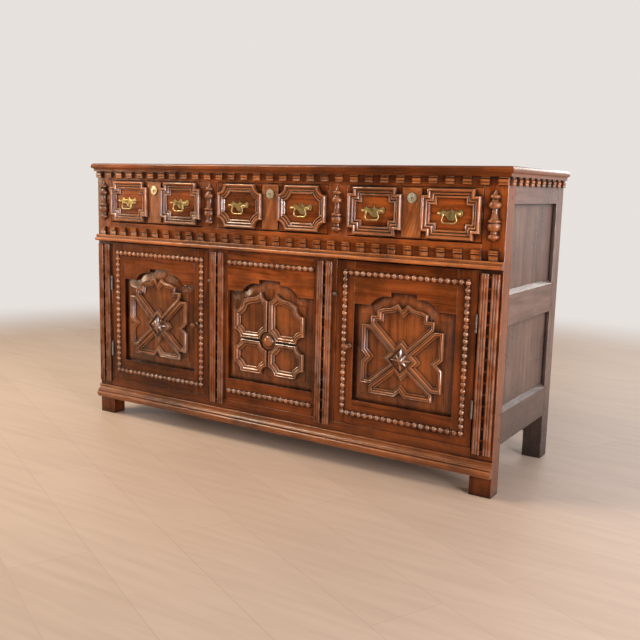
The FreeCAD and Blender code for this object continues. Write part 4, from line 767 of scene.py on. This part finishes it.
# Centre bay: a fixed frame like the doors', of two rails tenoned between the muntins round a fielded panel.
# Four cells mitred from lengths of moulding and a turned boss are glued to the panel.
panel_oak = oak(
    "waxed panel oak", dark=(0.13, 0.029, 0.0046, 1), mid=(0.345, 0.092, 0.0155, 1), pale=(1.6, 1.5, 1.4, 1),
    faded=(0.19, 0.078, 0.040, 1), rubbed=(0.50, 0.20, 0.080, 1), dark_wax_and_shade=(0.010, 0.0042, 0.0026, 1),
    wax=0.45, hollow_reach=0.018, hollow_range=(0.2, 0.85), planing=0.4)
moulding_tones = (0.4, 0.7)
timber("centre_rails", width=0.0008, seed=70)
timber("centre_panel", width=0.0009, seed=71, tones=(0.3, 0.4), upright=True, look=panel_oak)
timber("centre_mouldings", width=0.0005, seed=72, tones=moulding_tones, runs=True, crests=0.45,
       look=moulding_oak)

# Bead strips: rods of oak turned into beads and reels, split down the middle and fixed round the doors
# and along the centre bay. One tree strings the bead along every strip at an even pitch.
bead_pitch = 0.0208
bead_half_length = 0.0072
bead_radius = 0.009
bead_quirk = 0.0041
reel_radius = 0.0056
reel_chamfer = 0.0008
bead_stations = (-1.0, -0.86, -0.5, 0.0, 0.5, 0.86, 1.0)
bead_sides = 8
bead_rub = 0.44
reel_rub = 0.1
quirk_rub = 0.05
bead_unevenness = 0.05
bead_tones = (0.3, 0.6)

strung, start, end = group_tree(
    "strung along lines",
    [("Lines", "Geometry"), ("Bead", "Object"), ("Pitch", "Float"), ("Unevenness", "Float"), ("Seed", "Int"),
     ("Finish", "Material")],
    [("Geometry", "Geometry")], "GeometryNodeTree")
wires = put(strung, "GeometryNodeMeshToCurve", {"Mesh": start.outputs["Lines"]})
lengths = put(strung, "GeometryNodeSplineLength").outputs["Length"]
steps = reckoned(strung, "DIVIDE", lengths, start.outputs["Pitch"])
count = reckoned(strung, "ADD", reckoned(strung, "ROUND", steps), 1.0)
stations = put(strung, "GeometryNodeResampleCurve", {"Curve": wires.outputs[0], "Count": count})
facing = put(strung, "FunctionNodeAlignRotationToVector", {
    "Vector": put(strung, "GeometryNodeInputTangent").outputs[0]}, axis="X")
smallest = reckoned(strung, "SUBTRACT", 1.0, start.outputs["Unevenness"])
size = drawn(strung, smallest, 1.0, start.outputs["Seed"])
girth = put(strung, "ShaderNodeCombineXYZ", {"X": 1.0, "Y": size, "Z": size})
beads = put(strung, "GeometryNodeInstanceOnPoints", {
    "Points": stations.outputs[0], "Instance": pattern_for(strung, start.outputs["Bead"]),
    "Rotation": facing.outputs[0], "Scale": girth.outputs[0]})
toned_and_joined(strung, start, end, beads, bead_tones)


def bead_and_reel():
    # One half-round bead with half a reel at each end, flat at the back, along the x axis.
    outline = [(-bead_pitch / 2, reel_radius, reel_rub)]
    outline.append((-bead_half_length - reel_chamfer, reel_radius, quirk_rub))
    for share in bead_stations:
        swell = math.sqrt(1.0 - share ** 2)
        outline.append((share * bead_half_length, bead_quirk + (bead_radius - bead_quirk) * swell, swell))
    outline += [(-x, radius, rub) for x, radius, rub in outline[1::-1]]
    mesh = bmesh.new()
    edge_layer = mesh.loops.layers.float.new("edge")
    grain_layer = mesh.loops.layers.float_vector.new("grain")
    rub_of = {}
    rings = []
    for x, radius, rub in outline:
        ring = []
        for i in range(bead_sides + 1):
            angle = math.pi * i / bead_sides
            ring.append(mesh.verts.new((x, -radius * math.sin(angle), -radius * math.cos(angle))))
            rub_of[ring[-1]] = bead_rub * rub * math.sin(angle)
        rings.append(ring)
    for first, second in zip(rings, rings[1:]):
        for i in range(bead_sides):
            mesh.faces.new((first[i], first[i + 1], second[i + 1], second[i]))
        mesh.faces.new((first[bead_sides], first[0], second[0], second[bead_sides]))
    mesh.faces.new(rings[0])
    mesh.faces.new(rings[-1])
    bmesh.ops.recalc_face_normals(mesh, faces=mesh.faces)
    for face in mesh.faces:
        for corner in face.loops:
            corner[edge_layer] = rub_of[corner.vert]
            corner[grain_layer] = corner.vert.co
    return as_data("bead_and_reel", mesh)


def bead_strips(node, seed):
    # The strips of a node: a line along the back of each, from its first bead to its last, strung with beads.
    ends = []
    mesh = copied(node)
    for faces in boards_of(mesh):
        low, high = box_of(faces)
        along = 0 if high.x - low.x > high.z - low.z else 2
        step = (high[along] - low[along]) / max(1, round((high[along] - low[along]) / bead_pitch))
        for edge, inset in ((low, step / 2), (high, -step / 2)):
            spot = (low + high) / 2
            spot.y = high.y
            spot[along] = edge[along] + inset
            ends.append(tuple(spot))
    mesh.free()
    lines = bpy.data.meshes.new(node + "_lines")
    lines.from_pydata(ends, [(i, i + 1) for i in range(0, len(ends), 2)], [])
    bead = bpy.data.objects.new("bead", bead_and_reel())
    data = grown(strung, lines, {
        "Bead": bead, "Pitch": bead_pitch, "Unevenness": bead_unevenness, "Seed": seed,
        "Finish": moulding_oak})
    bpy.data.objects.remove(bead)
    finish(node + "_strung", data, moulding_oak, node)


bead_strips("centre_beads", seed=74)

# Doors: oak frames tenoned round a fielded panel with an arched head. Mitred lengths of moulding make the
# cells that leave a saltire, a star is carved on a square block where its arms cross, and the knob is turned.
star_valley = 0.36
star_ridges = 8


def eight_ridges(mesh):
    # The boss stands furthest forward. On its square block, a short ridge is carved between each two
    # long ones.
    boss = min(boards_of(mesh), key=lambda faces: box_of(faces)[0].y)
    low, high = box_of(boss)
    middle = (low + high) / 2
    reach = high.x - middle.x
    block_y = min(vert.co.y for face in boss for vert in face.verts if vert.co.x > high.x - plain_face)
    bmesh.ops.delete(mesh, geom=boss, context="FACES")

    def spot(far, turn, y):
        angle = 2 * math.pi * turn / star_ridges
        return mesh.verts.new((middle.x + far * math.cos(angle), y, middle.z + far * math.sin(angle)))

    short = reach * math.cos(2 * math.pi / star_ridges)
    seat = [spot(reach, turn, high.y) for turn in range(0, star_ridges, 2)]
    rim = [spot(short if turn % 2 else reach, turn, block_y) for turn in range(star_ridges)]
    valleys = [spot(star_valley * reach, turn + 0.5, block_y) for turn in range(star_ridges)]
    apex = mesh.verts.new((middle.x, low.y, middle.z))
    faces = [mesh.faces.new(seat)]
    for side in range(len(seat)):
        edge = [rim[(2 * side + step) % star_ridges] for step in range(3)]
        faces.append(mesh.faces.new([seat[side], *edge, seat[(side + 1) % len(seat)]]))
    for turn in range(star_ridges):
        here, following, valley = rim[turn], rim[(turn + 1) % star_ridges], valleys[turn]
        for corners in ((here, following, valley), (here, valley, apex), (valley, following, apex)):
            faces.append(mesh.faces.new(corners))
    bmesh.ops.recalc_face_normals(mesh, faces=faces)


# Painted shade: the left door's frame is toned darker than the right, to darken the side that the window
# lights more.
frame_tones_left_shaded = {"left": (0.0, 0.15), "right": (0.15, 0.4)}
for seed, side in enumerate(frame_tones_left_shaded, 80):
    timber(side + "_door_frame", width=0.0009, seed=seed, tones=frame_tones_left_shaded[side])
    timber(side + "_door_panel", width=0.0009, seed=seed + 3, tones=(0.25, 0.4), upright=True, look=panel_oak)
    # The carved star's facets are marked paler: wear, and a painted highlight.
    timber(side + "_door_mouldings", width=0.0005, seed=seed + 5, tones=moulding_tones, runs=True,
           crests=0.45, facet_rub_and_highlight=0.45, look=moulding_oak, carve=eight_ridges)
    timber(side + "_door_knob", width=0.0004, seed=seed + 9, crests=0.4, look=moulding_oak)
    bead_strips(side + "_door_beads", seed=seed + 7)

# Drawers: boxes of bare oak behind waxed fronts, run on the runners inside the case.
# Two mitred frames and a plain plate between them are glued to each front.
front_tones = {"left": (0.6, 0.75), "centre": (0.3, 0.45), "right": (0.75, 0.9)}
for seed, side in enumerate(front_tones, 100):
    timber(side + "_drawer_front", width=0.001, seed=seed, tones=front_tones[side])
    timber(side + "_drawer_box", width=0.0006, seed=seed + 4)
    timber(side + "_drawer_mouldings", width=0.0006, seed=seed + 8, tones=moulding_tones, runs=True,
           crests=0.4, look=moulding_oak)

# Metal of the fittings: cast brass gone brown in its corners and bright where hands rub it,
# and plain forged iron for the hinges, turn-buttons and bolts.
spot_scale = 140.0
spot_range = (0.46, 0.68)
cast_scale = 420.0
cast_depth = 0.0004
cast_strength = 0.25
rub_brightness = 0.8
corner_range = (0.3, 0.9)
corner_darkness = 0.85
spot_dullness = 0.3
spot_mean = 0.15
corner_dullness = 0.25


def metal(name, clean, tarnish, bright, roughness, hollow_reach, metallic):
    # One finish of metal, spotted with tarnish; the rubbed edges come from the piece's attribute.
    material, tree = new_material(name)
    wear_and_shade = wear_and_shade_of(tree, hollow_reach, hollow_reach)
    place = put(tree, "ShaderNodeTexCoord").outputs["Object"]
    spots = noise(tree, place, spot_scale, 5.0, 0.6)
    cast = noise(tree, place, cast_scale, 2.0)
    colour = blended(tree, ramped(tree, spots.outputs[0], *spot_range), clean, tarnish)
    colour = blended(tree, reckoned(tree, "MULTIPLY", wear_and_shade["Rubbed"], rub_brightness), colour, bright)
    corner = ramped(tree, wear_and_shade["Hollow"], *corner_range)
    colour = blended(tree, reckoned(tree, "MULTIPLY", corner, corner_darkness), colour, tarnish)
    dullness = reckoned(tree, "MULTIPLY_ADD", spots.outputs[0], spot_dullness, roughness - spot_mean)
    dullness = reckoned(tree, "MULTIPLY_ADD", corner, corner_dullness, dullness, clamp=True)
    pitted = put(tree, "ShaderNodeBump", {
        "Height": cast.outputs[0], "Strength": cast_strength, "Distance": cast_depth})
    surface = put(tree, "ShaderNodeBsdfPrincipled", {
        "Base Color": colour, "Metallic": metallic, "Roughness": dullness, "Normal": pitted.outputs[0]})
    put(tree, "ShaderNodeOutputMaterial", {"Surface": surface.outputs[0]})
    return material


finish_of["old_brass"] = metal(
    "old brass", clean=(0.62, 0.46, 0.18, 1), tarnish=(0.11, 0.062, 0.022, 1), bright=(1.0, 0.93, 0.74, 1),
    roughness=0.25, hollow_reach=0.006, metallic=0.7)
finish_of["dark_iron"] = metal(
    "dark iron", clean=(0.20, 0.165, 0.14, 1), tarnish=(0.08, 0.045, 0.03, 1), bright=(0.34, 0.31, 0.28, 1),
    roughness=0.45, hollow_reach=0.006, metallic=0.85)


def fitting(node, width, crests=0.0, rub=None):
    # An eased copy of a metal node in its own finish, rubbed further where asked.
    mesh = copied(node)
    ease(mesh, width, crests)
    if rub:
        rub(mesh)
    finish(node + "_cast", as_data(node, mesh), finish_of[slot_of[node]], node)


# Handles and locks: brass plates cut to an outline and cast drops hung between ball posts, with an oval plate
# round each keyhole. The lock's brass case is let in from behind and its iron bolt slides in it.
near_middle = 0.01
thin_plate = 0.004
front_facing = -0.3


def rub_keyhole_plate(mesh):
    # The thin plate in the middle is bright all over its front, and dull round its rim and in the keyhole.
    edge_layer = mesh.loops.layers.float["edge"]
    low, high = box_of(mesh.faces)
    middle = (low.x + high.x) / 2
    for group in boards_of(mesh):
        low, high = box_of(group)
        if abs((low.x + high.x) / 2 - middle) < near_middle and high.y - low.y < thin_plate:
            for face in group:
                mark([face], edge_layer, 1.0 if face.normal.y < front_facing else 0.0)


for side in front_tones:
    fitting(side + "_drawer_fittings", width=0.0005, rub=rub_keyhole_plate)
    for hand in ("left", "right"):
        fitting(side + "_drawer_bail_" + hand, width=0.0003, crests=0.5)
    fitting(side + "_drawer_lock_bolt", width=0.0004)

# Hinges and turn-buttons: iron leaves let into the posts and the doors and joined by a pin,
# and flat iron buttons that turn on round-headed screws beside the doors.
for node in ("hinge_fixed_leaves", "turn_button_screws"):
    fitting(node, width=0.0003)
for side in frame_tones_left_shaded:
    fitting(side + "_door_hinge_leaves", width=0.0003)
    fitting(side + "_turn_button", width=0.0005)
